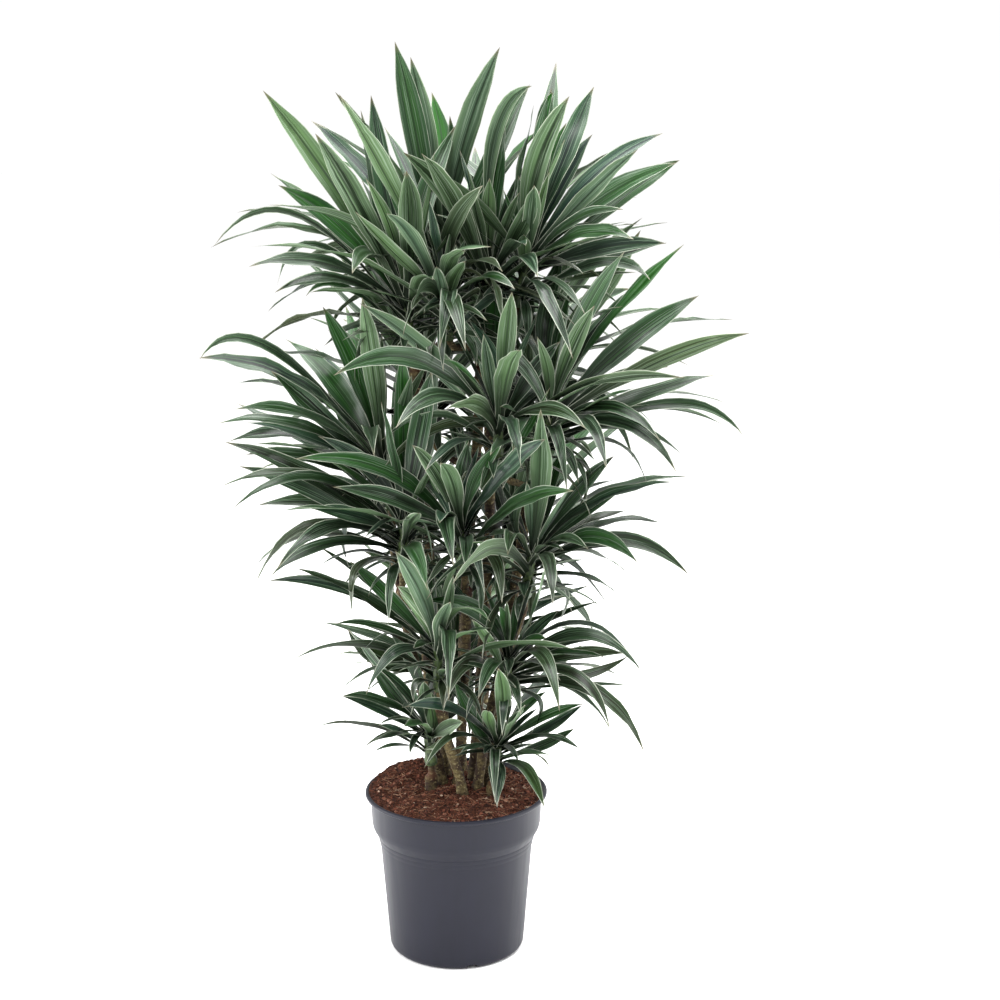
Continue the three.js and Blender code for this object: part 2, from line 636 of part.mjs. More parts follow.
// A leaf set by the plant's own rule: from the foot of the stem to its heart the leaves turn by the
// golden angle, rise more steeply and arch less, and the longest are halfway up.
function ruledLeaf(shoot, index, attempt) {
  const { draw, seat, heart, axis, vigour } = shoot;
  const age = index / (LEAVES_PER_SHOOT - 1);
  const loose = 1 + attempt * 0.3;
  const play = (kind) => spread(draw, RULE_PLAY[kind] * loose);
  const turn = degToRad(index * GOLDEN_ANGLE + shoot.turn + play("turn"));
  const rise = degToRad(lerp(...RULE_RISE, age ** 0.8) + play("rise"));
  const fall = degToRad(lerp(...RULE_FALL, age) * vigour + play("fall"));
  const grown = Math.sin(Math.PI * lerp(...RULE_GROWTH, age));
  const size = (1 + spread(draw, RULE_PLAY.size)) * vigour * (1 - attempt * 0.01);
  const length = lerp(...LEAF_LENGTH, grown) * size;
  const outward = new THREE.Vector3(Math.cos(turn), Math.sin(turn), 0);
  const root = rootOf(seat, heart, lerp(...RULE_ROOT, age), outward);
  const heading = (angle) => {
    const level = outward.clone().multiplyScalar(Math.cos(angle)).setZ(Math.sin(angle));
    return level.addScaledVector(axis, STEM_LEAN).normalize();
  };
  const crest = root.clone().addScaledVector(heading(rise), length * RULE_CREST);
  const tip = crest.clone().addScaledVector(heading(rise - fall), length * RULE_END);
  return leafOf(root, crest, tip, vigour, play("roll"));
}

// ---- Shoots --------------------------------------------------------------------------------------

function shootFrom({ name, stem, leaves, vigour = 1 }, number) {
  const [seat, heart] = stem.map(point);
  const axis = heart.clone().sub(seat).normalize();
  const radiusAt = (share) => lerp(STEM_RADIUS, STEM_TOP_RADIUS, share);
  const core = tube(new THREE.LineCurve3(seat, heart), STEM_SIDES, 1, radiusAt);
  const draw = draws(FIRST_SEED + SEED_STEP * number);
  return { name, seat, heart, axis, core, leaves, vigour, draw, turn: draw() * 360, blades: [] };
}

// What a new leaf has to keep clear of: every solid near it, apart from its own stem.
const standing = [];

function boxOf(solid) {
  const { min, max } = solid.boundingBox();
  return new THREE.Box3(new THREE.Vector3(...min), new THREE.Vector3(...max));
}

function stand(solid) {
  standing.push({ solid, box: boxOf(solid) });
}

function isClear(solid, stem) {
  const box = boxOf(solid).expandByScalar(LEAF_CLEARANCE);
  const near = standing.filter((other) => other.solid !== stem && other.box.intersectsBox(box));
  return near.every((other) => solid.minGap(other.solid, LEAF_CLEARANCE) >= LEAF_CLEARANCE);
}

// Tries one place of a leaf after another, and keeps the first where what shows of the leaf outside
// its stem is clear of all that stands already.
function growLeaf(shoot, leafAt) {
  for (let attempt = 0; attempt < TRIES; attempt++) {
    const leaf = leafAt(attempt);
    if (isSkewed(leaf)) continue;
    const whole = blade(leaf);
    const outside = whole.subtract(shoot.core);
    const hangsLow = boxOf(outside).min.z < LEAF_FLOOR;
    if (hangsLow || !isClear(outside, shoot.core)) continue;
    stand(outside);
    shoot.blades.push(whole);
    return;
  }
}

// ---- The whole plant -----------------------------------------------------------------------------

const plant = new THREE.Group();
const potBody = pot();
const curves = CANES.map(({ places }) => caneCurve(places));
const soilBody = soil(curves.map(socketOf));
plant.add(meshOf("pot", potBody, COLOURS.pot), meshOf("soil", soilBody, COLOURS.soil));
stand(potBody);
stand(soilBody);

CANES.forEach((cane, i) => {
  const branches = cane.shoots.map((shoot) => {
    const curve = branchCurve(curves[i], shoot);
    return tube(curve, BRANCH_SIDES, BRANCH_SPANS, () => BRANCH_RADIUS);
  });
  const pieces = [caneTube(curves[i], 0), ...branches];
  pieces.forEach(stand);
  plant.add(meshOf(cane.name, joined(pieces), COLOURS.cane));
});

const shoots = CANES.flatMap((cane) => cane.shoots).map(shootFrom);
shoots.forEach((shoot) => stand(shoot.core));
for (const shoot of shoots) {
  for (const place of shoot.leaves) {
    growLeaf(shoot, (attempt) => placedLeaf(shoot, place, attempt));
  }
}
for (let round = 0; round < LEAVES_PER_SHOOT; round++) {
  for (const shoot of shoots) {
    const missing = Math.round(LEAVES_PER_SHOOT * shoot.vigour) - shoot.leaves.length;
    if (round >= missing) continue;
    const index = Math.floor(((round + 0.5) / missing) * LEAVES_PER_SHOOT);
    growLeaf(shoot, (attempt) => ruledLeaf(shoot, index, attempt));
  }
}
for (const shoot of shoots) {
  plant.add(meshOf(shoot.name, joined([shoot.core, ...shoot.blades]), COLOURS.shoot));
}

export default plant;
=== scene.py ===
# %% [markdown]
# # A dracaena in a nursery pot
#
# Twelve woody canes stand in one plastic pot. They were cut at different heights, and under each
# cut a branch carries a tuft of striped leaves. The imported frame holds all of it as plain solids,
# and this lesson dresses them one kind at a time: pot, soil, canes and leaves, then the studio.

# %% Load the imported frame
import math
import random

import bmesh
import bpy
import numpy as np
from mathutils import Euler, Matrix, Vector, noise
from mathutils.bvhtree import BVHTree


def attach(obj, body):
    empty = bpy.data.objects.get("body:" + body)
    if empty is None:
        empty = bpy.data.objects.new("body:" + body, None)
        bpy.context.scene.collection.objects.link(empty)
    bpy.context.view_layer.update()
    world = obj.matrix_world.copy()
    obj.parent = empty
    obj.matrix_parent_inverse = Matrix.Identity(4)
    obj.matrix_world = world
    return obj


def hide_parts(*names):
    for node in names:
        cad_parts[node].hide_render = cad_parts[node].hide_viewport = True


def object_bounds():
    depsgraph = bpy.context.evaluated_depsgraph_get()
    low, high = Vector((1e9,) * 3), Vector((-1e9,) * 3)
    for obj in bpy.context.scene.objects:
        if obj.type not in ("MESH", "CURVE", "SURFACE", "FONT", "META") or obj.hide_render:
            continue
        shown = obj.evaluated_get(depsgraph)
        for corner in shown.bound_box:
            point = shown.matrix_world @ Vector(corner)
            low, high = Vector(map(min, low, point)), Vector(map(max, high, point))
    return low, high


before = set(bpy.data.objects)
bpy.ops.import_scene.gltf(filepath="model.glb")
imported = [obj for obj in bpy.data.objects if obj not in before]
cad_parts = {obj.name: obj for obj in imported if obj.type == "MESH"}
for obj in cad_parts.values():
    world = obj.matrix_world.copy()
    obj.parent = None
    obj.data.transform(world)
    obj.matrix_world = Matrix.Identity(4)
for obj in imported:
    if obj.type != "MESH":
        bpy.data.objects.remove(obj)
cad_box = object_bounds()
MM = 0.001
low, high = (Vector(corner) for corner in cad_box)
print("nodes:", len(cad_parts), "size in mm:", [round(side / MM) for side in high - low])

# %% [markdown]
# ## The camera
#
# The photograph was taken a little above the middle of the plant, from about two and a half metres
# away. The camera looks down by less than twelve degrees, so the soil shows as a flat oval.

# %% Camera
LOOK_DOWN, LOOK_RIGHT = 11.64, 1.5  # degrees
bpy.ops.object.select_all(action="DESELECT")
bpy.ops.object.camera_add(
    location=(0, -2.5, 1.2),
    rotation=(math.radians(90 - LOOK_DOWN), 0, math.radians(-LOOK_RIGHT)),
)
camera = bpy.context.object
camera.data.lens = 63.5
bpy.context.scene.camera = camera
bpy.context.scene.view_settings.view_transform = "Standard"
print("camera at", tuple(camera.location), "lens", camera.data.lens)

# %% [markdown]
# ## Tools for materials
#
# Colours are picked as sRGB hex values, the way a paint program shows them, while the shader wants
# linear light, so one function turns them. Another adds a node with its settings and links.


# %% Helpers for materials
def colour(code):
    """An sRGB hex value as linear red, green, blue and alpha."""
    shares = [int(code[i:i + 2], 16) / 255 for i in (1, 3, 5)]
    return [s / 12.92 if s <= 0.04045 else ((s + 0.055) / 1.055) ** 2.4 for s in shares] + [1]


def fill(tree, node, inputs):
    """Give inputs, named or numbered, a value, an output or a node, for its first output."""
    for name, value in inputs.items():
        if isinstance(value, bpy.types.Node):
            value = value.outputs[0]
        if isinstance(value, bpy.types.NodeSocket):
            tree.links.new(value, node.inputs[name])
        else:
            node.inputs[name].default_value = value


def add(tree, kind, inputs=None, **settings):
    """Add one node with its settings and its inputs."""
    node = tree.nodes.new(kind)
    for name, value in settings.items():
        setattr(node, name, value)
    fill(tree, node, inputs or {})
    return node


def start_material(name):
    """A new material, its node tree and its shader."""
    material = bpy.data.materials.new(name)
    material.use_nodes = True
    return material, material.node_tree, material.node_tree.nodes["Principled BSDF"]


MIX = {"data_type": "RGBA"}  # a Mix node for colours takes its inputs and output by number
FACTOR, FIRST, SECOND, MIXED = 0, 6, 7, 2
print("white in linear light:", colour("#ffffff"))


# %% Helpers for meshes
CLOSE = 0.01 * MM  # points nearer to each other than this are one


def deselect():
    """Leave edit mode and select nothing, since an operator acts on all that is selected."""
    if bpy.context.mode != "OBJECT":
        bpy.ops.object.mode_set(mode="OBJECT")
    bpy.ops.object.select_all(action="DESELECT")


def pick(*objects):
    """Select these objects alone, the first of them active."""
    deselect()
    for each in objects:
        each.select_set(True)
    bpy.context.view_layer.objects.active = objects[0]


def edit(piece):
    """Open one piece in edit mode with all of it selected."""
    pick(piece)
    bpy.ops.object.mode_set(mode="EDIT")
    bpy.ops.mesh.select_all(action="SELECT")


def face_outwards():
    """Turn all faces of the piece in edit mode outwards, then leave edit mode."""
    bpy.ops.mesh.select_all(action="SELECT")
    bpy.ops.mesh.normals_make_consistent(inside=False)
    deselect()


def apply_modifier(piece, kind, **settings):
    """Add a modifier with its settings and apply it at once."""
    pick(piece)
    modifier = piece.modifiers.new(kind.title(), kind)
    for name, value in settings.items():
        setattr(modifier, name, value)
    bpy.ops.object.modifier_apply(modifier=modifier.name)


def coordinates(mesh):
    """The places of a mesh's vertices, one row each."""
    places = np.empty(len(mesh.vertices) * 3)
    mesh.vertices.foreach_get("co", places)
    return places.reshape(-1, 3)


def set_coordinates(mesh, places):
    mesh.vertices.foreach_set("co", places.ravel())
    mesh.update()


def set_numbers(mesh, name, values):
    """Keep one number a vertex under a name that a material can read."""
    mesh.attributes.new(name, "FLOAT", "POINT").data.foreach_set("value", values)


def faces_of(piece):
    return f"{piece.name}: {len(piece.data.polygons)} faces"


# %% [markdown]
# ## The pot
#
# A nursery pot is injection moulded: one thin tapered wall with a wide collar, a rolled lip and a
# raised drain channel underneath. It could be cut from a solid, but it is round, so a chain of
# points is drawn by extruding one vertex, and spin sweeps it once round. A bevel rounds the edges,
# then a Boolean cuts the drain holes and the gaps in the foot, and the slivers that it leaves are
# cleared away.

# %% The pot's outline
WALL = [(101, 9), (113.4, 158), (118, 178)]  # tapered wall and flare: radius and height in mm
MOULD_LINES = [(177, 0.5), (170.5, 0.25), (163, 0.15)]  # height and depth of faint rings


def wall_radius(height):
    """How far out the wall stands at a height, both in mm."""
    radii, heights = zip(*WALL)
    return float(np.interp(height, heights, radii))


def arc(centre, radius, start, end, steps):
    """Points on a part of a circle, from one angle to another in degrees."""
    angles = [math.radians(start + (end - start) * i / steps) for i in range(steps + 1)]
    return [(centre[0] + radius * math.cos(a), centre[1] + radius * math.sin(a)) for a in angles]


outline = [(0, 0), (55, 0), (60, 5), (84, 5), (87, 0)]  # pad, drain channel and foot ring
outline += arc((92, 9), 9, -90, 0, 6)  # rounded up into the wall
outline.append(WALL[1])
for height, depth in reversed(MOULD_LINES):
    for at, cut in ((height - 1, 0), (height, depth), (height + 1, 0)):
        outline.append((wall_radius(at) - cut, at))
outline += [(118.8, 179.2), (123.8, 188.6), (124.8, 191), (126.4, 198), (128, 238)]  # the collar
outline += arc((132.5, 241.5), 3.5, -90, 90, 12)  # the rolled lip
INSIDE = [(131, 244.3), (129, 242), (126.8, 237), (124.2, 198), (121.6, 189), (116, 178),
          (111.4, 158), (99, 7)]  # down the wall to the floor
outline += [*INSIDE, (0, 7)]
print("points on the pot's outline:", len(outline))

# %% Spin the outline
POT_STEPS = 128
deselect()
bpy.ops.mesh.primitive_plane_add(size=MM)
pot = bpy.context.object
pot.name = "nursery_pot"
edit(pot)
bpy.ops.mesh.merge(type="CENTER")
for (r0, z0), (r1, z1) in zip(outline, outline[1:]):
    step = ((r1 - r0) * MM, 0, (z1 - z0) * MM)
    bpy.ops.mesh.extrude_region_move(TRANSFORM_OT_translate={"value": step})
bpy.ops.mesh.select_all(action="SELECT")
bpy.ops.mesh.spin(steps=POT_STEPS, angle=math.tau, center=(0, 0, 0), axis=(0, 0, 1))
bpy.ops.mesh.select_all(action="SELECT")
bpy.ops.mesh.remove_doubles(threshold=CLOSE)
face_outwards()
apply_modifier(pot, "BEVEL", width=1.6 * MM, segments=3, limit_method="ANGLE",
               angle_limit=math.radians(20))
print(faces_of(pot))

# %% Cut the drain holes and the gaps in the foot
DRAIN_HOLES, CHANNEL_RADIUS = 6, 72 * MM
FOOT_GAPS, FOOT_RADIUS = 4, 101 * MM
FIRST_GAP = 13  # degrees from the front
OFF_EDGE = 0.04  # radians, so that no corner of a cutter meets an edge
cutters = []
for i in range(DRAIN_HOLES):
    turn = (i + 0.5) / DRAIN_HOLES * math.tau
    deselect()
    bpy.ops.mesh.primitive_cylinder_add(
        vertices=32, radius=6 * MM, depth=20 * MM, rotation=(0, 0, OFF_EDGE),
        location=(CHANNEL_RADIUS * math.cos(turn), CHANNEL_RADIUS * math.sin(turn), 5 * MM),
    )
    cutters.append(bpy.context.object)
for i in range(FOOT_GAPS):
    turn = math.radians(FIRST_GAP + 360 / FOOT_GAPS * i)
    deselect()
    bpy.ops.mesh.primitive_cube_add(
        size=1, scale=(14 * MM, 40 * MM, 14 * MM), rotation=(0, 0, turn),
        location=(FOOT_RADIUS * math.sin(turn), -FOOT_RADIUS * math.cos(turn), 0),
    )
    cutters.append(bpy.context.object)
pick(*cutters)
bpy.ops.object.join()
cutter = bpy.context.object
apply_modifier(pot, "BOOLEAN", operation="DIFFERENCE", object=cutter, solver="EXACT")
bpy.data.objects.remove(cutter)
print(faces_of(pot))

# %% Clear the slivers and shade it smooth
edit(pot)
bpy.ops.mesh.dissolve_degenerate(threshold=CLOSE)
bpy.ops.mesh.remove_doubles(threshold=CLOSE)
pick(pot)
bpy.ops.object.shade_smooth_by_angle(angle=math.radians(30))
print(faces_of(pot))

# %% [markdown]
# ## Moulded polypropylene
#
# Nursery pots are injection-moulded polypropylene, coloured through and often recycled. It gives
# the eye an even slate grey with a soft satin sheen, which is broken up by a fine grain from the
# steel mould and by faint streaks where the melt ran up the wall.

# %% Pot material
polypropylene, tree, shader = start_material("moulded polypropylene, slate grey")
place = add(tree, "ShaderNodeTexCoord").outputs["Object"]
cloud = add(tree, "ShaderNodeTexNoise", {"Vector": place, "Scale": 14, "Detail": 3})
stretch = add(tree, "ShaderNodeMapping", {"Vector": place, "Scale": (1, 1, 0.06)})
streaks = add(tree, "ShaderNodeTexNoise", {"Vector": stretch, "Scale": 90, "Detail": 2})
grain = add(tree, "ShaderNodeTexNoise", {"Vector": place, "Scale": 1 / (1.2 * MM), "Detail": 2})
shade = add(tree, "ShaderNodeMath", {0: cloud, 1: streaks}, operation="ADD")
share = add(tree, "ShaderNodeMapRange", {"Value": shade, "From Min": 0.7, "From Max": 1.3})
tint = add(tree, "ShaderNodeMix",
           {FACTOR: share, FIRST: colour("#141520"), SECOND: colour("#181925")}, **MIX)
gloss = add(tree, "ShaderNodeMapRange", {
    "Value": streaks, "From Min": 0.3, "From Max": 0.7, "To Min": 0.4, "To Max": 0.5,
})
bump = add(tree, "ShaderNodeBump", {"Height": grain, "Strength": 0.12, "Distance": 0.1 * MM})
fill(tree, shader, {
    "Base Color": tint.outputs[MIXED], "Roughness": gloss, "Normal": bump,
    "IOR": 1.45, "Specular IOR Level": 0.28,
})
pot.data.materials.append(polypropylene)
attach(pot, "root")
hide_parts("pot")
print("pot dressed with", polypropylene.name)

# %% [markdown]
# ## The soil
#
# Potting mix is peat and bark with coir fibres. Seen from here it is a rough, low mound that is
# heaped up at the back, with crumbs, chips and strands lying on it. One surface gives the mound
# and its clods: a square grid pressed round, whose points are lifted by the same hills as the
# solid underneath. The loose bits are modelled once each and strewn over it.

# %% The shape of the mound
SOIL_RADIUS = 126  # mm
RIM_HEIGHT = 236  # mm, where it meets the wall
HEAPS = [(13, -40, 72, 38), (9, -72, 78, 42)]  # height, place and reach in mm, at the back left
CLODS = [(2.2, 12 * MM, 3), (1.3, 5 * MM, 8), (0.6, 2.2 * MM, 5)]  # height in mm, width, pattern
GAP = 0.3  # mm between touching pieces


def mound(x, y):
    """Height of the soil above the floor, without its clods, in metres."""
    x, y = x / MM, y / MM
    outward = min(1, math.hypot(x, y) / SOIL_RADIUS)
    hills = math.sin(0.11 * x + 1) * math.cos(0.13 * y) + math.sin(0.23 * x - 0.19 * y) / 2
    heap = sum(high * math.exp(-((x - mid_x) ** 2 + (y - mid_y) ** 2) / reach ** 2)
               for high, mid_x, mid_y, reach in HEAPS)
    bank = (4 - 0.035 * x + 0.02 * y) * outward ** 4  # it lies higher against the wall on the left
    height = RIM_HEIGHT + bank + 14 * (1 - outward ** 2)
    return (height + 2.5 * hills * (1 - outward ** 4) + 0.8 * heap) * MM


def clods(x, y):
    """Lumps on the mound, in metres."""
    return MM * sum(high * noise.noise((x / width, y / width, pattern))
                    for high, width, pattern in CLODS)


def soil_edge(height):
    """How far out the soil lies at a height: just short of the pot's inner wall."""
    radii, heights = zip(*reversed(INSIDE))
    return (np.interp(height / MM, heights, radii) - GAP) * MM


print("soil in mm, at the middle:", round(mound(0, 0) / MM),
      "at the back:", round(mound(-40 * MM, 72 * MM) / MM))

# %% Press a grid round and lift it
GRID = 170
SKIRT_TOP = RIM_HEIGHT + 0.5  # mm, the limit of the ring under the mound's edge
SOIL_FOOT = 200 * MM  # the height down to which it is modelled, out of sight
deselect()
bpy.ops.mesh.primitive_grid_add(x_subdivisions=GRID, y_subdivisions=GRID, size=2)
soil = bpy.context.object
soil.name = "potting_mix"
edit(soil)
bpy.ops.mesh.extrude_region_move(TRANSFORM_OT_translate={"value": (0, 0, -1)})
bpy.ops.mesh.select_all(action="SELECT")
bpy.ops.mesh.bisect(plane_co=(0, 0, -0.5), plane_no=(0, 0, 1))
deselect()
places = coordinates(soil.data)
for row in places:
    x, y, layer = row  # 0 is the top, -0.5 a ring round the edge and -1 the underside
    reach = max(abs(x), abs(y))
    turn = math.atan2(y, x) if reach else 0
    edge_place = SOIL_RADIUS * MM * math.cos(turn), SOIL_RADIUS * MM * math.sin(turn)
    edge = mound(*edge_place)
    if layer < -0.8:
        edge = SOIL_FOOT
    elif layer < -0.2:
        edge = min(SKIRT_TOP * MM, edge + clods(*edge_place) - 0.5 * MM)
    reach *= soil_edge(edge)
    x, y = reach * math.cos(turn), reach * math.sin(turn)
    row[:] = x, y, edge if layer < -0.2 else mound(x, y) + clods(x, y)
set_coordinates(soil.data, places)
edit(soil)
face_outwards()
pick(soil)
bpy.ops.object.shade_smooth()
print(faces_of(soil))


# %% Model a chip, a crumb and a fibre once each
def chip_template(seed, size):
    """A broken flake of bark: a low cylinder with its corners pushed about."""
    deselect()
    bpy.ops.mesh.primitive_cylinder_add(vertices=5, radius=0.5, depth=0.3)
    chip = bpy.context.object
    edit(chip)
    bpy.ops.mesh.vertices_smooth(factor=0.2)
    bpy.ops.transform.resize(value=size)
    bpy.ops.transform.vertex_random(offset=0.12, seed=seed, normal=0)
    deselect()
    return chip


def fibre_template(seed, turns, steps=6):
    """A strand of coir: a three-sided section, extruded along and turned a little each time."""
    deselect()
    bpy.ops.mesh.primitive_circle_add(
        vertices=3, radius=0.022, fill_type="NGON",
        location=(0, -0.5, 0), rotation=(math.pi / 2, 0, 0),
    )
    fibre = bpy.context.object
    bpy.ops.object.transform_apply(location=True, rotation=True)
    rng = random.Random(seed)
    edit(fibre)
    heading = 0
    for _ in range(steps):
        heading += rng.uniform(-turns, turns)
        step = (math.sin(heading) / steps, math.cos(heading) / steps, rng.uniform(-0.03, 0.03))
        bpy.ops.mesh.extrude_region_move(TRANSFORM_OT_translate={"value": step})
    face_outwards()
    return fibre


FLAKE_SIZES = [(1, 0.6, 0.5), (1, 0.85, 0.7), (1, 0.4, 0.8), (0.9, 0.9, 0.9)]
FIBRE_TURNS = [0.25, 0.5, 0.8]  # radians at each step
flakes = [chip_template(seed, size) for seed, size in enumerate(FLAKE_SIZES, 1)]
fibres = [fibre_template(seed, turns) for seed, turns in enumerate(FIBRE_TURNS, 1)]
print("templates:", [len(each.data.polygons) for each in flakes + fibres], "faces")


# %% Strew them over the mound
def strew(name, templates, count, sizes, tilt, lift, seed):
    """Copies of the templates all over the soil, as one piece with a tone for each copy.

    Sizes are in mm, tilt is in radians, and lift is how high a copy lies, as a share of its size.
    """
    rng = random.Random(seed)
    points, faces, tones = [], [], []
    for _ in range(count):
        template = rng.choice(templates).data
        size = rng.uniform(*sizes) * MM
        reach = (SOIL_RADIUS * MM - 0.6 * size) * math.sqrt(rng.random())
        turn = rng.uniform(0, math.tau)
        x, y = reach * math.cos(turn), reach * math.sin(turn)
        spin = Euler((rng.gauss(0, tilt), rng.gauss(0, tilt), rng.uniform(0, math.tau)))
        place = Vector((x, y, mound(x, y) + clods(x, y) + lift * size))
        start = len(points)
        for vertex in template.vertices:
            at = vertex.co * size
            at.rotate(spin)
            points.append(at + place)
        faces += [[start + i for i in face.vertices] for face in template.polygons]
        tones += [rng.random()] * len(template.vertices)
    mesh = bpy.data.meshes.new(name)
    mesh.from_pydata(points, [], faces)
    set_numbers(mesh, "tone", tones)
    piece = bpy.data.objects.new(name, mesh)
    bpy.context.collection.objects.link(piece)
    for template in templates:
        bpy.data.objects.remove(template)
    return piece


crumb_templates = [template.copy() for template in flakes]
chips = strew("bark_chips", flakes, 1100, sizes=(3, 8), tilt=0.7, lift=0.05, seed=11)
crumbs = strew("peat_crumbs", crumb_templates, 3600, sizes=(1.2, 3.5), tilt=0.9, lift=0.15, seed=12)
strands = strew("coir_fibres", fibres, 900, sizes=(6, 20), tilt=0.16, lift=0.04, seed=13)
for piece in (chips, crumbs, strands):
    print(faces_of(piece))

# %% [markdown]
# ## Potting mix
#
# Peat with composted bark is dull and granular, so nothing on it shines. It gives the eye a deep
# red-brown, and its near-black hollows are painted shade, laid into the colour where its bump is
# low. Each chip has its own tone, from fresh red bark to weathered grey, and coir strands are thin
# pale lines.

# %% Soil materials
peat, tree, shader = start_material("peat potting mix")
place = add(tree, "ShaderNodeTexCoord").outputs["Object"]
crumb = add(tree, "ShaderNodeTexNoise", {"Vector": place, "Scale": 1 / (4 * MM), "Detail": 6})
share = add(tree, "ShaderNodeMapRange", {"Value": crumb, "From Min": 0.35, "From Max": 0.68})
# The dark end of this mix lies where the crumb bump is low: painted shade in the hollows.
tint = add(tree, "ShaderNodeMix",
           {FACTOR: share, FIRST: colour("#1a0e0a"), SECOND: colour("#5d3526")}, **MIX)
bump = add(tree, "ShaderNodeBump", {"Height": crumb, "Strength": 0.7, "Distance": 1.5 * MM})
fill(tree, shader, {
    "Base Color": tint.outputs[MIXED], "Normal": bump,
    "Roughness": 0.95, "Specular IOR Level": 0.2,
})
soil.data.materials.append(peat)


def loose_bits(name, stops, grain):
    """A dry, dull material in each bit's own tone, with dark specks of a grain in mm."""
    material, tree, shader = start_material(name)
    place = add(tree, "ShaderNodeTexCoord").outputs["Object"]
    tone = add(tree, "ShaderNodeAttribute", attribute_name="tone").outputs["Fac"]
    ramp = add(tree, "ShaderNodeValToRGB", {"Fac": tone})
    marks = ramp.color_ramp.elements
    for at, code in stops[1:-1]:
        marks.new(at).color = colour(code)
    marks[0].color, marks[-1].color = colour(stops[0][1]), colour(stops[-1][1])
    speck = add(tree, "ShaderNodeTexNoise",
                {"Vector": place, "Scale": 1 / (grain * MM), "Detail": 4})
    dark = add(tree, "ShaderNodeMapRange",
               {"Value": speck, "From Min": 0.3, "From Max": 0.6, "To Min": 0.45})
    tint = add(tree, "ShaderNodeMix", {FACTOR: dark, FIRST: colour("#140b08"), SECOND: ramp}, **MIX)
    fill(tree, shader, {
        "Base Color": tint.outputs[MIXED], "Roughness": 0.85, "Specular IOR Level": 0.25,
    })
    return material


chip_bark = loose_bits("composted pine bark", [
    (0, "#2a1712"), (0.35, "#5b3124"), (0.7, "#7d4a38"), (0.9, "#8d6350"), (1, "#b29a86"),
], grain=3)
crumb_peat = loose_bits(
    "peat crumbs", [(0, "#20120d"), (0.5, "#55301f"), (1, "#86523d")], grain=2)
coir = loose_bits("coir fibre", [(0, "#5e3a2a"), (0.6, "#885c44"), (1, "#b8977c")], grain=5)
for piece, material in ((chips, chip_bark), (crumbs, crumb_peat), (strands, coir)):
    piece.data.materials.append(material)
for piece in (soil, chips, crumbs, strands):
    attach(piece, "root")
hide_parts("soil")
print("soil dressed, loose bits:", [piece.name for piece in (chips, crumbs, strands)])

# %% [markdown]
# ## The canes
#
# A cane is a bare stem that once carried leaves. Every leaf left a ring round it, and the bark
# between the rings is lumpy and blotched. The solids have the right run and girth but only seven
# sides, so a copy of each is merged, remeshed finely and smoothed round. Rings and lumps are then
# pushed out of the surface, which keeps branches and cut ends part of the same skin.

# %% Read where a cane was cut
CUT_SIDE = 8.678 * MM  # one side of the seven-sided cut end
CUT_INWARD = 9.01 * MM  # from the middle of that side to the middle of the cut


def cut_centres(node):
    """The middle of the cut end, seen from each side of its rim that a branch has left whole."""
    shell = bmesh.new()
    shell.from_mesh(node.data)
    bmesh.ops.remove_doubles(shell, verts=shell.verts, dist=CLOSE)
    centres = []
    for edge in shell.edges:
        tops = [face for face in edge.link_faces if face.normal.z > 0.7]
        if abs(edge.calc_length() - CUT_SIDE) > 0.05 * MM or not tops:
            continue
        start, end = (vertex.co for vertex in edge.verts)
        inward = tops[0].normal.cross(end - start).normalized()
        if inward.dot(tops[0].calc_center_median() - start) < 0:
            inward.negate()
        centres.append((start + end) / 2 + inward * CUT_INWARD)
    shell.free()
    return centres


cane_names = sorted(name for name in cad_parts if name.startswith("cane"))
print("cut ends:", sum(bool(cut_centres(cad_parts[name])) for name in cane_names))

# %% Shape the canes
RING = 7.5 * MM  # from one leaf scar to the next
LUMP, PIMPLE = 11 * MM, 4.5 * MM  # widths of the bark's bumps
SEALED = 12 * MM  # how far from a cut the wound's skin reaches
FOOT, FLARE = 246 * MM, 28 * MM  # up to where a cane is swollen, and the height that this fades in


def shape_cane(node, number):
    """A finely meshed copy of a cane, with rings and lumps pushed out of its bark."""
    pick(node)
    bpy.ops.object.duplicate()
    cane = bpy.context.object
    cane.name = node.name + "_bark"
    edit(cane)
    bpy.ops.mesh.remove_doubles(threshold=CLOSE)
    deselect()
    cuts = cut_centres(node)
    apply_modifier(cane, "REMESH", mode="VOXEL", voxel_size=2.0 * MM)
    apply_modifier(cane, "SMOOTH", factor=0.5, iterations=12)
    mesh = cane.data
    places = coordinates(mesh)
    normals = np.array([v.normal for v in mesh.vertices])
    scars, rawness = [], []
    for place, normal in zip(places, normals):
        x, y, z = place
        wander = 0.35 * noise.noise((x * 60 + number, y * 60, z * 12))  # no ring is quite level
        phase = (z / RING + wander + number * 0.37) % 1
        scar = max(0, 1 - abs(phase - 0.5) / 0.16)
        lump = noise.noise((x / LUMP, y / LUMP, z / (14 * MM) + number))
        pimple = noise.noise((x / PIMPLE, y / PIMPLE, z / PIMPLE + number))
        raw = max([0] + [1 - (Vector(place) - cut).length / SEALED for cut in cuts])
        foot = min(1, max(0, 1 - (z - FOOT) / FLARE))
        grown = 0.1 + (0.8 + foot) * lump + 0.5 * pimple - 0.6 * scar + 0.5 * (phase - 0.5)
        grown += 2.4 * foot ** 2
        place += normal * grown * MM * (1 - 0.5 * raw)
        scars.append(scar)
        rawness.append(raw)
    set_coordinates(mesh, places)
    set_numbers(mesh, "scar", scars)
    set_numbers(mesh, "raw", rawness)
    pick(cane)
    bpy.ops.object.shade_smooth()
    mesh.materials.clear()
    return cane


canes = []
for number, name in enumerate(cane_names):
    cane = shape_cane(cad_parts[name], number)
    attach(cane, "root")
    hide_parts(name)
    canes.append(cane)
    print(faces_of(cane))

# %% [markdown]
# ## Cane bark
#
# The bark of a dracaena cane is thin and corky. It gives the eye olive and straw-coloured blotches
# over brown, dark leaf scars, pale specks where it breathes, and a red-brown skin near a cut, where
# the wound was sealed. It is dry, so it is nearly matt.

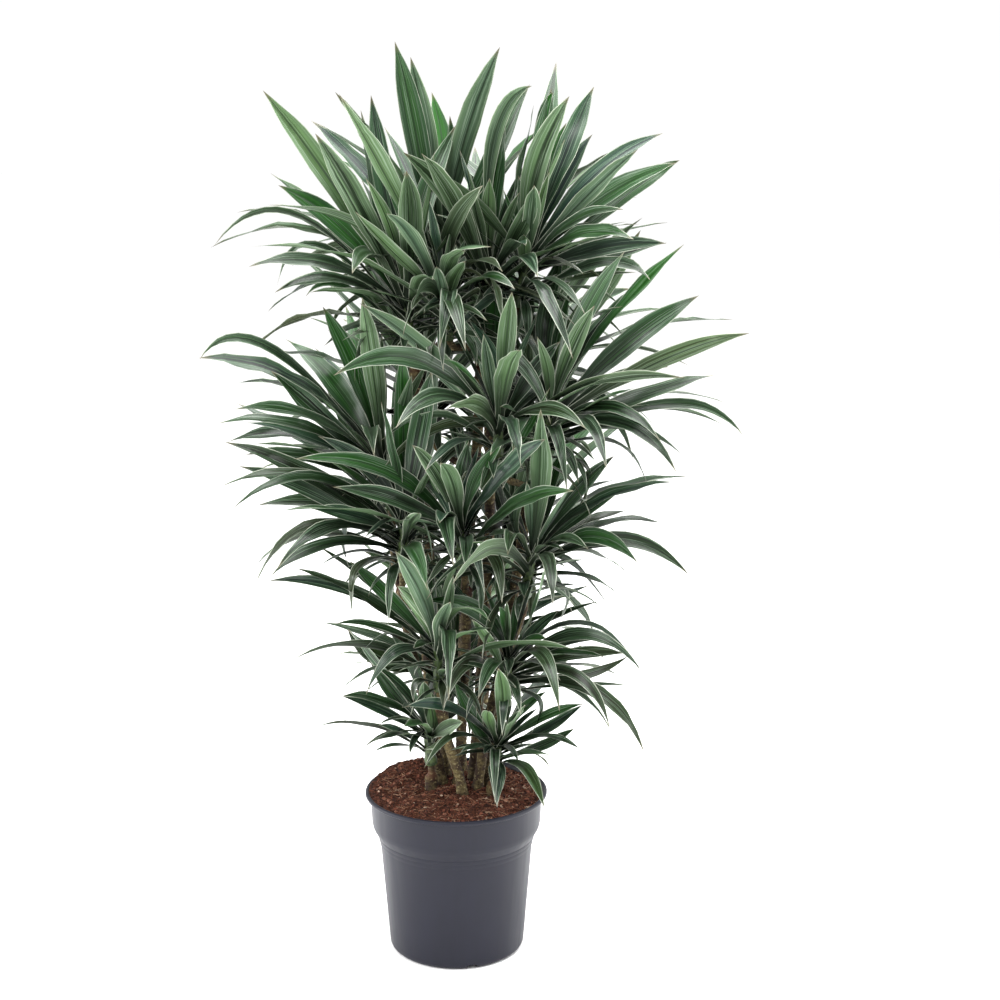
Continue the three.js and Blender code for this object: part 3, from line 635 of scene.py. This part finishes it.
# %% Bark material
bark, tree, shader = start_material("dracaena cane bark")
place = add(tree, "ShaderNodeTexCoord").outputs["Object"]
scar, raw = (add(tree, "ShaderNodeAttribute", attribute_name=kept).outputs["Fac"]
             for kept in ("scar", "raw"))
blotch = add(tree, "ShaderNodeTexNoise", {"Vector": place, "Scale": 1 / (18 * MM), "Detail": 4})
share = add(tree, "ShaderNodeMapRange", {"Value": blotch, "From Min": 0.4, "From Max": 0.62})
tint = add(tree, "ShaderNodeMix",
           {FACTOR: share, FIRST: colour("#33251a"), SECOND: colour("#605536")}, **MIX)
speck = add(tree, "ShaderNodeTexNoise", {"Vector": place, "Scale": 1 / (3.5 * MM), "Detail": 3})
pale = add(tree, "ShaderNodeMapRange", {"Value": speck, "From Min": 0.58, "From Max": 0.7})
# The bark is darker where the specks are low, which is where its bump sinks.
dark_where_low = add(tree, "ShaderNodeMapRange",
           {"Value": speck, "From Min": 0.44, "From Max": 0.34, "To Max": 0.8})
ring = add(tree, "ShaderNodeMath", {0: scar, 1: 0.65}, operation="MULTIPLY")
sealed = add(tree, "ShaderNodeMath", {0: raw, 1: 1.6}, operation="MULTIPLY", use_clamp=True)
for share, code in [(pale, "#8f845e"), (dark_where_low, "#22160f"), (ring, "#20150e"), (sealed, "#4f261c")]:
    tint = add(tree, "ShaderNodeMix", {
        FACTOR: share, FIRST: tint.outputs[MIXED], SECOND: colour(code),
    }, **MIX)
bump = add(tree, "ShaderNodeBump", {"Height": speck, "Strength": 0.6, "Distance": 0.6 * MM})
fill(tree, shader, {
    "Base Color": tint.outputs[MIXED], "Normal": bump,
    "Roughness": 0.8, "Specular IOR Level": 0.3,
})
for cane in canes:
    cane.data.materials.append(bark)
print("canes dressed:", len(canes))

# %% [markdown]
# ## The leaves
#
# A leaf clasps the stem with a channelled base, narrows, is widest before its middle and runs out
# to a long fine point. Its margins wave, and its midrib stands out underneath. In the frame each
# one is a plain blade of a few faces, with the right run, width and lie. So one fine leaf is
# modelled by extruding a folded section along its length, and every copy is bent along the run that
# is read back from its plain blade.

# %% How wide a leaf is along its length
ALONG = [0.02, 0.07, 0.13, 0.2, 0.27, 0.34, 0.41, 0.48, 0.55, 0.62, 0.69, 0.76, 0.82, 0.88, 0.94, 1]
WIDE = [(0, 0.5), (0.05, 0.46), (0.1, 0.43), (0.16, 0.48), (0.24, 0.68), (0.33, 0.9), (0.42, 1),
        (0.54, 1), (0.64, 0.93), (0.72, 0.81), (0.8, 0.62), (0.87, 0.41), (0.94, 0.18), (1, 0)]


def width_at(share):
    """How wide the leaf is at a share of its length, as a share of its widest place."""
    return np.interp(share, [at for at, _ in WIDE], [width for _, width in WIDE])


print("width halfway:", width_at(0.5))

# %% Model one leaf
# The section has a channel above, between two margins, and the midrib's keel below it.
SECTION = [(-1, 0), (0, 0), (1, 0), (0, -1)]
deselect()
bpy.ops.mesh.primitive_circle_add(vertices=len(SECTION), radius=1, rotation=(math.pi / 2, 0, 0))
leaf = bpy.context.object
leaf.name = "one_leaf"
bpy.ops.object.transform_apply(rotation=True)
for vertex, (x, z) in zip(leaf.data.vertices, SECTION):
    vertex.co = (x, ALONG[0], z)
edit(leaf)
bpy.ops.mesh.edge_face_add()
for before, after in zip(ALONG, ALONG[1:]):
    bpy.ops.mesh.extrude_region_move(TRANSFORM_OT_translate={"value": (0, after - before, 0)})
bpy.ops.mesh.merge(type="CENTER")
face_outwards()
print(faces_of(leaf))

# %% Let both sides of the leaf fold alike
# A face with four corners is drawn as two triangles that meet on the diagonal from its first
# corner. Each face starts at its lower margin here, or else a bent underside would show through.
corners = [vertex.co.copy() for vertex in leaf.data.vertices]
faces = []
for face in leaf.data.polygons:
    ring = list(face.vertices)
    first = ring.index(min(ring, key=lambda i: (corners[i].y, -abs(corners[i].x))))
    faces.append(ring[first:] + ring[:first])
leaf.data.clear_geometry()
leaf.data.from_pydata(corners, [], faces)
print("faces that start at a margin:", sum(abs(corners[face[0]].x) == 1 for face in faces))


# %% Read a leaf's run back from its plain blade
TIP_EDGE = 20 * MM  # an edge that ends at a blade's tip is longer than this
STEM_FOOT = 9 * MM  # radius of a stem's foot, whose cap in the frame is a hexagon of triangles


def ring_middle(ring):
    """The middle between a ring's two margins, and the vector from one margin to the other."""
    points = [vertex.co for vertex in ring]
    pairs = [(a, b) for i, a in enumerate(points) for b in points[i + 1:]]
    a, b = max(pairs, key=lambda pair: (pair[0] - pair[1]).length)
    return (a + b) / 2, b - a


def read_leaves(node):
    """Each blade's root, bend, tip and vector across it, and where the shoot's stem stands."""
    shell = bmesh.new()
    shell.from_mesh(node.data)
    bmesh.ops.remove_doubles(shell, verts=shell.verts, dist=CLOSE)
    found = []
    for tip in shell.verts:
        if len(tip.link_edges) != 3 or min(e.calc_length() for e in tip.link_edges) < TIP_EDGE:
            continue
        rings, seen = [{tip}], {tip}
        for _ in range(2):
            beyond = {e.other_vert(v) for v in rings[-1] for e in v.link_edges} - seen
            rings.append(beyond)
            seen |= beyond
        if len(rings[1]) != 3 or len(rings[2]) != 3:
            continue
        outer, _ = ring_middle(rings[1])
        inner, across = ring_middle(rings[2])
        # The run is a quadratic curve, on which the inner ring's middle is 0.36 root + 0.48 bend
        # + 0.16 tip, at 0.4 of it, and the outer's 0.09 root + 0.42 bend + 0.49 tip, at 0.7.
        a = inner - 0.16 * tip.co
        b = outer - 0.49 * tip.co
        root = (a * 0.42 - b * 0.48) / 0.108
        bend = (b * 0.36 - a * 0.09) / 0.108
        found.append((root, bend, tip.co.copy(), across))
    seats = []
    for vertex in shell.verts:
        sides = [e.calc_length() for e in vertex.link_edges]
        if len(sides) == 6 and all(abs(side - STEM_FOOT) < 0.2 * MM for side in sides):
            seats.append((vertex.co.copy(), vertex.normal.copy()))
    shell.free()
    return found, seats


shoot_names = sorted(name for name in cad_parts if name.startswith("shoot"))
blades = {name: read_leaves(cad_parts[name]) for name in shoot_names}
print("leaves read:", sum(len(found) for found, _ in blades.values()),
      "stems:", sum(len(seats) for _, seats in blades.values()))


# %% Bend a copy along it
FACING = Vector((0, -0.8, 0.6))  # to the camera and up
# Tips in mm of the leaves in the frame that turn their upper side to the camera.
TURNED = [(-80, 30, 1330), (105, -40, 1270), (55, -130, 270)]


def point_on(blade, share):
    """The point at a share of a leaf's run."""
    root, bend, tip, _ = blade
    return (1 - share) ** 2 * root + 2 * share * (1 - share) * bend + share ** 2 * tip


def grow_leaf(blade, stem_axis, rng):
    """A copy of the one leaf, bent along a blade's run, with its own channel, waves and twist."""
    root, bend, tip, margin = blade
    if any((tip - Vector(at) * MM).length < MM for at in TURNED):
        margin = (tip - root).cross(FACING).normalized() * margin.length
    elif margin.cross(bend - root).dot(stem_axis) < 0:
        margin = -margin  # the upper side is the one that lay against the stem
    length = (bend - root).length + (tip - bend).length
    young = min(1, max(0, (tip - root).normalized().dot(stem_axis)))
    width = margin.length * rng.triangular(0.7, 1.04, 0.94) * (0.8 + 0.3 * young)
    copy = leaf.copy()
    copy.data = leaf.data.copy()
    bpy.context.collection.objects.link(copy)
    mesh = copy.data
    wave = rng.uniform(0.8, 3) * MM * min(1, width / (28 * MM))  # height of the margins' waves
    pitch = rng.uniform(65, 130) * MM  # from one wave to the next
    starts = (rng.uniform(0, math.tau), rng.uniform(0, math.tau))
    twist = rng.gauss(0, 0.4)  # radians from base to tip
    channel = rng.uniform(0.18, 0.42)  # depth as a share of half the width
    sweep = rng.gauss(0, 0.025) * length  # to one side
    fullness = 1 + 0.3 * young  # a young leaf is widest further out
    places, to_edge = [], []
    for vertex in mesh.vertices:
        x, share, below = vertex.co
        middle = point_on(blade, share)
        run = ((1 - share) * (bend - root) + share * (tip - bend)).normalized()
        across = (margin - run * margin.dot(run)).normalized()
        up = across.cross(run)
        turn = twist * max(0, share - 0.3) / 0.7
        across, up = (across * math.cos(turn) + up * math.sin(turn),
                      up * math.cos(turn) - across * math.sin(turn))
        half = width / 2 * width_at(share ** fullness)
        deep = channel + 0.45 * math.exp(-share / 0.12)  # deepest where it clasps the stem
        height = -half * deep * (1 - abs(x))
        fade = min(1, share / 0.35) * min(1, (1 - share) / 0.12)
        side = starts[0 if x < 0 else 1]
        height += wave * fade * abs(x) * math.sin(math.tau * share * length / pitch + side)
        keel = 0.7 + 1.2 * math.exp(-share / 0.2)
        height += below * keel * MM * min(1, half / (6 * MM))
        place = middle + across * (x * half + sweep * math.sin(math.pi * share)) + up * height
        places.append(place)
        to_edge.append(half * (1 - abs(x)))
    set_coordinates(mesh, np.array(places))
    set_numbers(mesh, "to_edge", to_edge)
    set_numbers(mesh, "tone", [rng.random()] * len(places))
    set_numbers(mesh, "young", [young] * len(places))
    return copy


print("one leaf has", len(leaf.data.vertices), "points")


# %% Mark the leaf's upper side, its underside and its lie
lie = leaf.data.uv_layers.new(name="leaf")
for face in leaf.data.polygons:
    face.material_index = int(any(leaf.data.vertices[i].co.z < -0.5 for i in face.vertices))
    for corner, i in zip(face.loop_indices, face.vertices):
        x, share, _ = leaf.data.vertices[i].co
        lie.data[corner].uv = (0.5 + x / 2, share)
print("faces underneath:", sum(face.material_index for face in leaf.data.polygons))

# %% [markdown]
# ## Leaf skin
#
# A dracaena leaf is smooth and waxy above, duller and paler underneath. From above it gives the eye
# a deep green with a cool sheen, fine parallel veins, a few pale hairlines and a narrow white
# margin that fades in patches. On some leaves that sheen is painted into the colour as a cool
# blue-grey, and the inner end of every leaf is darkened with painted shade. Young leaves are a
# brighter green, old ones are darker and some of them a tired olive, and every tip is dry. Both
# sides read the leaf's own UV map, so the stripes bend with it, and the distance to the margin
# keeps the white line equally wide on every leaf.


# %% Leaf materials
BASE_PAINTED_SHADE, DRY_TIP = "#0a1209", "#5e5440"  # painted shade on the inner end, and the tip that dries first


def leaf_side(name, dark, light, cool, fresh, worn, band, hairline, margin,
              midrib, roughness, gloss):
    """One side of a leaf. The colours are hex values, midrib is the strength of its line."""
    material, tree, shader = start_material(name)
    lie = add(tree, "ShaderNodeUVMap", uv_map="leaf")
    x, y = add(tree, "ShaderNodeSeparateXYZ", {0: lie}).outputs[:2]  # across and along the leaf
    tone, young, to_edge = (add(tree, "ShaderNodeAttribute", attribute_name=kept).outputs["Fac"]
                            for kept in ("tone", "young", "to_edge"))
    own = add(tree, "ShaderNodeMath", {0: tone, 1: 37}, operation="MULTIPLY")

    # Stripes are noise that is stretched along the leaf, and starts elsewhere on every leaf.
    across = add(tree, "ShaderNodeMath", {0: x, 1: 10}, operation="MULTIPLY")
    along = add(tree, "ShaderNodeMath", {0: y, 1: 0.9}, operation="MULTIPLY")
    spread = add(tree, "ShaderNodeCombineXYZ", {0: across, 1: along, 2: own})
    stripes = add(tree, "ShaderNodeTexNoise", {"Vector": spread, "Scale": 1, "Detail": 2})
    veins = add(tree, "ShaderNodeTexNoise", {"Vector": spread, "Scale": 2.2, "Detail": 2})
    share = add(tree, "ShaderNodeMapRange", {"Value": stripes, "From Min": 0.38, "From Max": 0.62})
    tint = add(tree, "ShaderNodeMix",
               {FACTOR: share, FIRST: colour(dark), SECOND: colour(light)}, **MIX)

    # Some leaves get a painted sheen, a blue-grey in the colour, and young ones are fresher.
    wax_and_painted_sheen = add(tree, "ShaderNodeMapRange",
               {"Value": tone, "From Min": 0.35, "From Max": 0, "To Max": 0.6})
    bright = add(tree, "ShaderNodeMapRange", {"Value": tone, "From Min": 0.6, "From Max": 1.2})
    bright = add(tree, "ShaderNodeMath", {0: bright, 1: young}, operation="MULTIPLY")

    # A band runs beside each margin. Old leaves are darker, and some of them tired.
    off = add(tree, "ShaderNodeMath", {0: x, 1: 0.5}, operation="SUBTRACT")
    off = add(tree, "ShaderNodeMath", {0: off}, operation="ABSOLUTE")
    outward = add(tree, "ShaderNodeMapRange",
                  {"Value": off, "From Min": 0.2, "From Max": 0.42, "To Max": 0.75})
    old = add(tree, "ShaderNodeMapRange",
              {"Value": young, "From Min": 0.8, "From Max": 0.2, "To Max": 0.55})
    tired = add(tree, "ShaderNodeMath", {0: own}, operation="FRACT")
    tired = add(tree, "ShaderNodeMapRange", {"Value": tired, "From Min": 0.6, "To Max": 0.8})
    tired = add(tree, "ShaderNodeMath", {0: tired, 1: old}, operation="MULTIPLY")

    # Hairlines follow the veins, and the midrib is a dark line.
    thin = add(tree, "ShaderNodeMapRange",
               {"Value": veins, "From Min": 0.53, "From Max": 0.66, "To Max": 0.6})
    middle = add(tree, "ShaderNodeMapRange",
                 {"Value": off, "From Min": 0.07, "From Max": 0.02, "To Max": midrib})
    # Painted shade: each leaf is darkened towards its inner end, in the crown.
    inner = add(tree, "ShaderNodeMapRange",
                {"Value": y, "From Min": 0.6, "From Max": 0.12, "To Max": 0.9})

    # The white margin is about a millimetre wide and fades in patches.
    patches = add(tree, "ShaderNodeMath", {0: y, 1: 5}, operation="MULTIPLY")
    patches = add(tree, "ShaderNodeCombineXYZ", {0: x, 1: patches, 2: own})
    patches = add(tree, "ShaderNodeTexNoise", {"Vector": patches, "Scale": 1.5})
    patches = add(tree, "ShaderNodeMapRange",
                  {"Value": patches, "From Min": 0.38, "From Max": 0.6, "To Min": 0.35})
    rim = add(tree, "ShaderNodeMapRange",
              {"Value": to_edge, "From Min": 1.1 * MM, "From Max": 0.4 * MM, "To Max": 0.75})
    rim = add(tree, "ShaderNodeMath", {0: rim, 1: patches}, operation="MULTIPLY")
    dry = add(tree, "ShaderNodeMapRange",
              {"Value": y, "From Min": 0.93, "From Max": 0.99, "To Max": 0.8})

    # Each of them lays its colour over what is below it.
    layers = [(wax_and_painted_sheen, cool), (bright, fresh), (outward, band), (old, dark), (tired, worn),
              (thin, hairline), (middle, dark), (inner, BASE_PAINTED_SHADE), (rim, margin), (dry, DRY_TIP)]
    for share, code in layers:
        tint = add(tree, "ShaderNodeMix", {
            FACTOR: share, FIRST: tint.outputs[MIXED], SECOND: colour(code),
        }, **MIX)
    bump = add(tree, "ShaderNodeBump", {"Height": veins, "Strength": 0.35, "Distance": 0.3 * MM})
    fill(tree, shader, {
        "Base Color": tint.outputs[MIXED], "Normal": bump,
        "Roughness": roughness, "IOR": 1.4, "Specular IOR Level": gloss,
    })
    return material


upper_side = leaf_side("dracaena leaf, waxy upper side", dark="#060d06", light="#284622",
                       cool="#263e3c", fresh="#2c6a1e", worn="#35351d", band="#354f36",
                       hairline="#738a72", margin="#c2c7b6", midrib=0.5, roughness=0.28, gloss=0.36)
underside = leaf_side("dracaena leaf, dull underside", dark="#182713", light="#4f6846",
                      cool="#42584b", fresh="#5a7a48", worn="#4b4a2c", band="#5c7354",
                      hairline="#82957e", margin="#bcc2b0", midrib=0.8, roughness=0.5, gloss=0.2)
leaf.data.materials.append(upper_side)
leaf.data.materials.append(underside)
print("leaf materials:", upper_side.name, "and", underside.name)

# %% Stem material
sheath, tree, shader = start_material("dracaena stem with leaf sheaths")
place = add(tree, "ShaderNodeTexCoord").outputs["Object"]
streak = add(tree, "ShaderNodeTexNoise", {"Vector": place, "Scale": 1 / (6 * MM), "Detail": 3})
share = add(tree, "ShaderNodeMapRange", {"Value": streak, "From Min": 0.4, "From Max": 0.6})
tint = add(tree, "ShaderNodeMix",
           {FACTOR: share, FIRST: colour("#233319"), SECOND: colour("#46582f")}, **MIX)
fill(tree, shader, {"Base Color": tint.outputs[MIXED], "Roughness": 0.5})
print("stem material:", sheath.name)

# %% [markdown]
# ## The shoots
#
# Each shoot is a short green stem, wrapped in the bases of its leaves. The frame gives only some
# of its leaves, so more grow between them, and those that stand out in the photograph are listed
# one by one. The stem is a cone with a few sheath rings, and the leaves are joined to it, so that
# one piece stands for one solid of the frame.


# %% More leaves between the ones that are read
UPWARD = Vector((0, 0, 1))
GOLDEN_TURN = math.radians(137.508)  # from one leaf of a shoot to the next
LOWEST_TIP = 310 * MM
CANE_REACH = 12 * MM  # a leaf's middle stays this far from the bark
TRIES = 8  # for each leaf, until one stands free
cane_shells = [
    BVHTree.FromPolygons([v.co for v in mesh.vertices], [f.vertices for f in mesh.polygons])
    for mesh in (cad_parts[name].data for name in cane_names)
]


def stands_free(blade):
    """Whether a leaf stays in the plant's box, off the soil and away from the canes."""
    tip = blade[2]
    if any(not low[i] < tip[i] < high[i] for i in range(3)) or tip.z < LOWEST_TIP:
        return False
    for share in (0.25, 0.4, 0.55, 0.7, 0.85, 1):
        at = point_on(blade, share)
        if any(shell.find_nearest(at)[3] < CANE_REACH for shell in cane_shells):
            return False
    return True


# For each age: how many, where on the stem, rise and fall in degrees, length as a share of the
# shoot's reach, and width as a share of a grown leaf's.
AGES = {
    "old": (8, (0, 0.35), (0, 42), (60, 140), (0.45, 0.95), 0.85),
    "inner": (9, (0, 1), (5, 60), (30, 95), (0.32, 0.52), 1),
    "grown": (6, (0.3, 0.85), (25, 65), (25, 75), (0.6, 1), 0.9),
    "young": (5, (0.85, 1), (58, 86), (4, 22), (0.45, 0.85), 0.7),
}


def more_leaves(seat, axis, stem, reach, rng):
    """Old leaves hang from the stem's foot, grown ones spread, young ones stand in its heart."""
    added = []
    turn = rng.uniform(0, math.tau)
    for count, where, rises, falls, lengths, broad in AGES.values():
        for _ in range(count):
            turn += GOLDEN_TURN
            for _ in range(TRIES):
                way = turn + rng.gauss(0, 0.3)
                flat = Vector((math.cos(way), math.sin(way), 0))
                rise = math.radians(rng.uniform(*rises))
                length = reach * rng.uniform(*lengths)
                root = seat + axis * stem * rng.uniform(*where)
                bend = root + (flat * math.cos(rise) + UPWARD * math.sin(rise)) * length / 2
                rise -= math.radians(rng.uniform(*falls))
                tip = bend + (flat * math.cos(rise) + UPWARD * math.sin(rise)) * length / 2
                width = (14 * MM + 0.065 * length) * broad
                blade = (root, bend, tip, flat.cross(UPWARD) * width)
                if stands_free(blade):
                    added.append(blade)
                    break
    return added


print("leaves added to each shoot, at most:", sum(age[0] for age in AGES.values()))

# %% Leaves that stand out in the photograph
# Shoot, share of its stem, bend and tip in mm, widest width in mm.
SEEN_LEAVES = [
    ("low_left", 0.7, (-104, -37, 382), (-165, -70, 413), 17),
    ("low_left", 0.3, (-79, -39, 361), (-112, -70, 369), 13),
    ("low_left", 0.9, (-87, -21, 398), (-123, -40, 453), 25),
    ("back_left_low", 0.8, (-131, 86, 393), (-163, 70, 475), 34),
    ("lower_left", 0.8, (-117, -63, 531), (-171, -80, 523), 14),
    ("lower_left", 1.0, (-148, -56, 594), (-264, -90, 589), 22),
    ("lower_right", 0.8, (190, -63, 573), (274, -80, 431), 13),
    ("lower_right", 0.3, (174, -78, 464), (223, -100, 364), 15),
    ("lower_right", 0.6, (182, -60, 432), (248, -90, 477), 17),
    ("lower_right", 0.2, (181, -49, 441), (257, -40, 415), 11),
    ("low_front", 0.8, (138, -34, 352), (183, -80, 401), 20),
    ("low_front", 0.5, (138, -48, 332), (170, -100, 372), 18),
    ("low_front", 0.9, (54, -48, 345), (48, -60, 387), 21),
    ("low_front", 0.6, (28, -58, 345), (-4, -78, 443), 21),
    ("low_front", 0.4, (54, -104, 330), (58, -134, 266), 42),
    ("low_left", 0.8, (-32, -36, 355), (-44, -50, 427), 22),
    ("back_left_low", 0.3, (22, 140, 415), (22, 132, 268), 20),
    ("back_low", 0.2, (44, 146, 410), (38, 132, 268), 17),
    ("back_left_low", 0.1, (-8, 142, 400), (-8, 130, 268), 17),
    ("back_low", 0.5, (14, 146, 420), (30, 136, 288), 17),
    ("top_right", 0.3, (244, 14, 1045), (300, -10, 1054), 20),
    ("top_right", 0.6, (261, 20, 1159), (314, -20, 1168), 25),
    ("top_right", 0.1, (223, -62, 1072), (268, -100, 1008), 24),
    ("right_upper", 0.3, (341, -39, 892), (411, -40, 782), 20),
    ("top_centre", 0.9, (41, -50, 1248), (107, -60, 1267), 24),
    ("top_right", 0.95, (116, -8, 1242), (137, -40, 1259), 18),
    ("top_left", 0.5, (-228, -17, 1197), (-327, -60, 1054), 14),
    ("top_left", 0.4, (-209, -63, 1127), (-240, -90, 1000), 15),
    ("top_left", 0.2, (-168, -44, 1048), (-201, -90, 987), 11),
    ("left_upper", 0.9, (-291, 18, 989), (-361, -10, 890), 17),
]


def seen_leaves(shoot, seat, axis, stem):
    """The leaves of one shoot that the photograph shows beside the frame's, turned to the front."""
    added = []
    for name, share, bend, tip, width in SEEN_LEAVES:
        if shoot == "shoot_" + name:
            root, bend, tip = seat + axis * stem * share, Vector(bend) * MM, Vector(tip) * MM
            across = (tip - root).cross(FACING).normalized()
            added.append((root, bend, tip, across * width * MM))
    return added


print("leaves set by hand:", len(SEEN_LEAVES))


# %% Build the shoots
STEM_PARTS = 8  # every second ring between them is a sheath, which stands out a little


def grow_stem(name, seat, axis, length):
    """A green stem from its seat along its axis, ringed where old leaves were."""
    deselect()
    bpy.ops.mesh.primitive_cone_add(
        vertices=12, radius1=STEM_FOOT, radius2=5 * MM, depth=length,
        location=seat + axis * length / 2, rotation=axis.to_track_quat("Z", "Y").to_euler(),
    )
    stem = bpy.context.object
    stem.name = name
    bpy.ops.object.transform_apply(location=True, rotation=True)
    stem.data.uv_layers.remove(stem.data.uv_layers[0])
    edit(stem)
    for cut in range(1, STEM_PARTS):
        bpy.ops.mesh.select_all(action="SELECT")
        bpy.ops.mesh.bisect(plane_co=seat + axis * length * cut / STEM_PARTS, plane_no=axis)
    deselect()
    for vertex in stem.data.vertices:
        ring = round((vertex.co - seat).dot(axis) / length * STEM_PARTS)
        middle = seat + axis * (vertex.co - seat).dot(axis)
        if 0 < ring < STEM_PARTS and ring % 2:
            vertex.co += (vertex.co - middle) * 0.15
    stem.data.materials.append(sheath)
    return stem


shoots = []
for number, name in enumerate(shoot_names):
    found, seats = blades[name]
    rng = random.Random(500 + number)
    seat, outward = seats[0]
    axis = -outward
    length = max((root - seat).dot(axis) for root, *_ in found) / 0.95  # its top leaf's root
    shoot = grow_stem(name + "_leaves", seat, axis, length)
    reach = sorted((tip - root).length for root, _, tip, _ in found)[len(found) // 2]
    runs = (found + seen_leaves(name, seat, axis, length)
            + more_leaves(seat, axis, length, reach, rng))
    leaves = [grow_leaf(blade, axis, rng) for blade in runs]
    pick(shoot, *leaves)
    bpy.ops.object.join()
    bpy.ops.object.shade_smooth_by_angle(angle=math.radians(50))
    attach(shoot, "root")
    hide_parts(name)
    shoots.append(shoot)
    print(faces_of(shoot), "leaves", len(runs), "stem", round(length / MM), "mm")
bpy.data.objects.remove(leaf)

# %% Keep everything inside the frame's box
for shoot in shoots:
    places = coordinates(shoot.data)
    set_coordinates(shoot.data, np.clip(places, np.array(low), np.array(high)))
print("leaves kept inside", [round(side / MM) for side in high - low], "mm")

# %% [markdown]
# ## The studio
#
# The photograph is a cut-out on white under soft light from all sides. A wide white floor under a
# white sky does the same here. The strongest lamp is wide and hangs overhead, a weaker one stands
# in front and to the left, and two at the sides draw the light edges on the pot.

# %% Floor
deselect()
bpy.ops.mesh.primitive_circle_add(vertices=96, radius=60, fill_type="NGON")  # metres
floor = bpy.context.object
floor.name = "studio_floor"
paper, tree, shader = start_material("white studio paper")
fill(tree, shader, {"Base Color": colour("#ffffff"), "Roughness": 0.9})
floor.data.materials.append(paper)
print(faces_of(floor))

# %% Lamps and sky
AIM = Vector((0, 0, 0.6))  # the middle of the plant
LAMPS = [  # name, place, side in metres, power in watts
    ("key", (-2.0, -3.0, 3.2), 1.6, 90),
    ("left", (-3.2, 0.2, 1.2), 2.0, 98),
    ("right", (3.2, 0.0, 1.3), 2.0, 68),
    ("top", (0.4, 0.3, 4.2), 3.6, 420),
]
for name, place, side, power in LAMPS:
    deselect()
    turn = (AIM - Vector(place)).to_track_quat("-Z", "Y").to_euler()
    bpy.ops.object.light_add(type="AREA", location=place, rotation=turn)
    lamp = bpy.context.object
    lamp.name = name + "_lamp"
    lamp.data.size = side
    lamp.data.energy = power
world = bpy.data.worlds.new("white studio")
world.use_nodes = True
sky = world.node_tree
fill(sky, sky.nodes["Background"], {"Color": colour("#ffffff"), "Strength": 1.02})
bpy.context.scene.world = world
print("lamps:", [name for name, *_ in LAMPS])
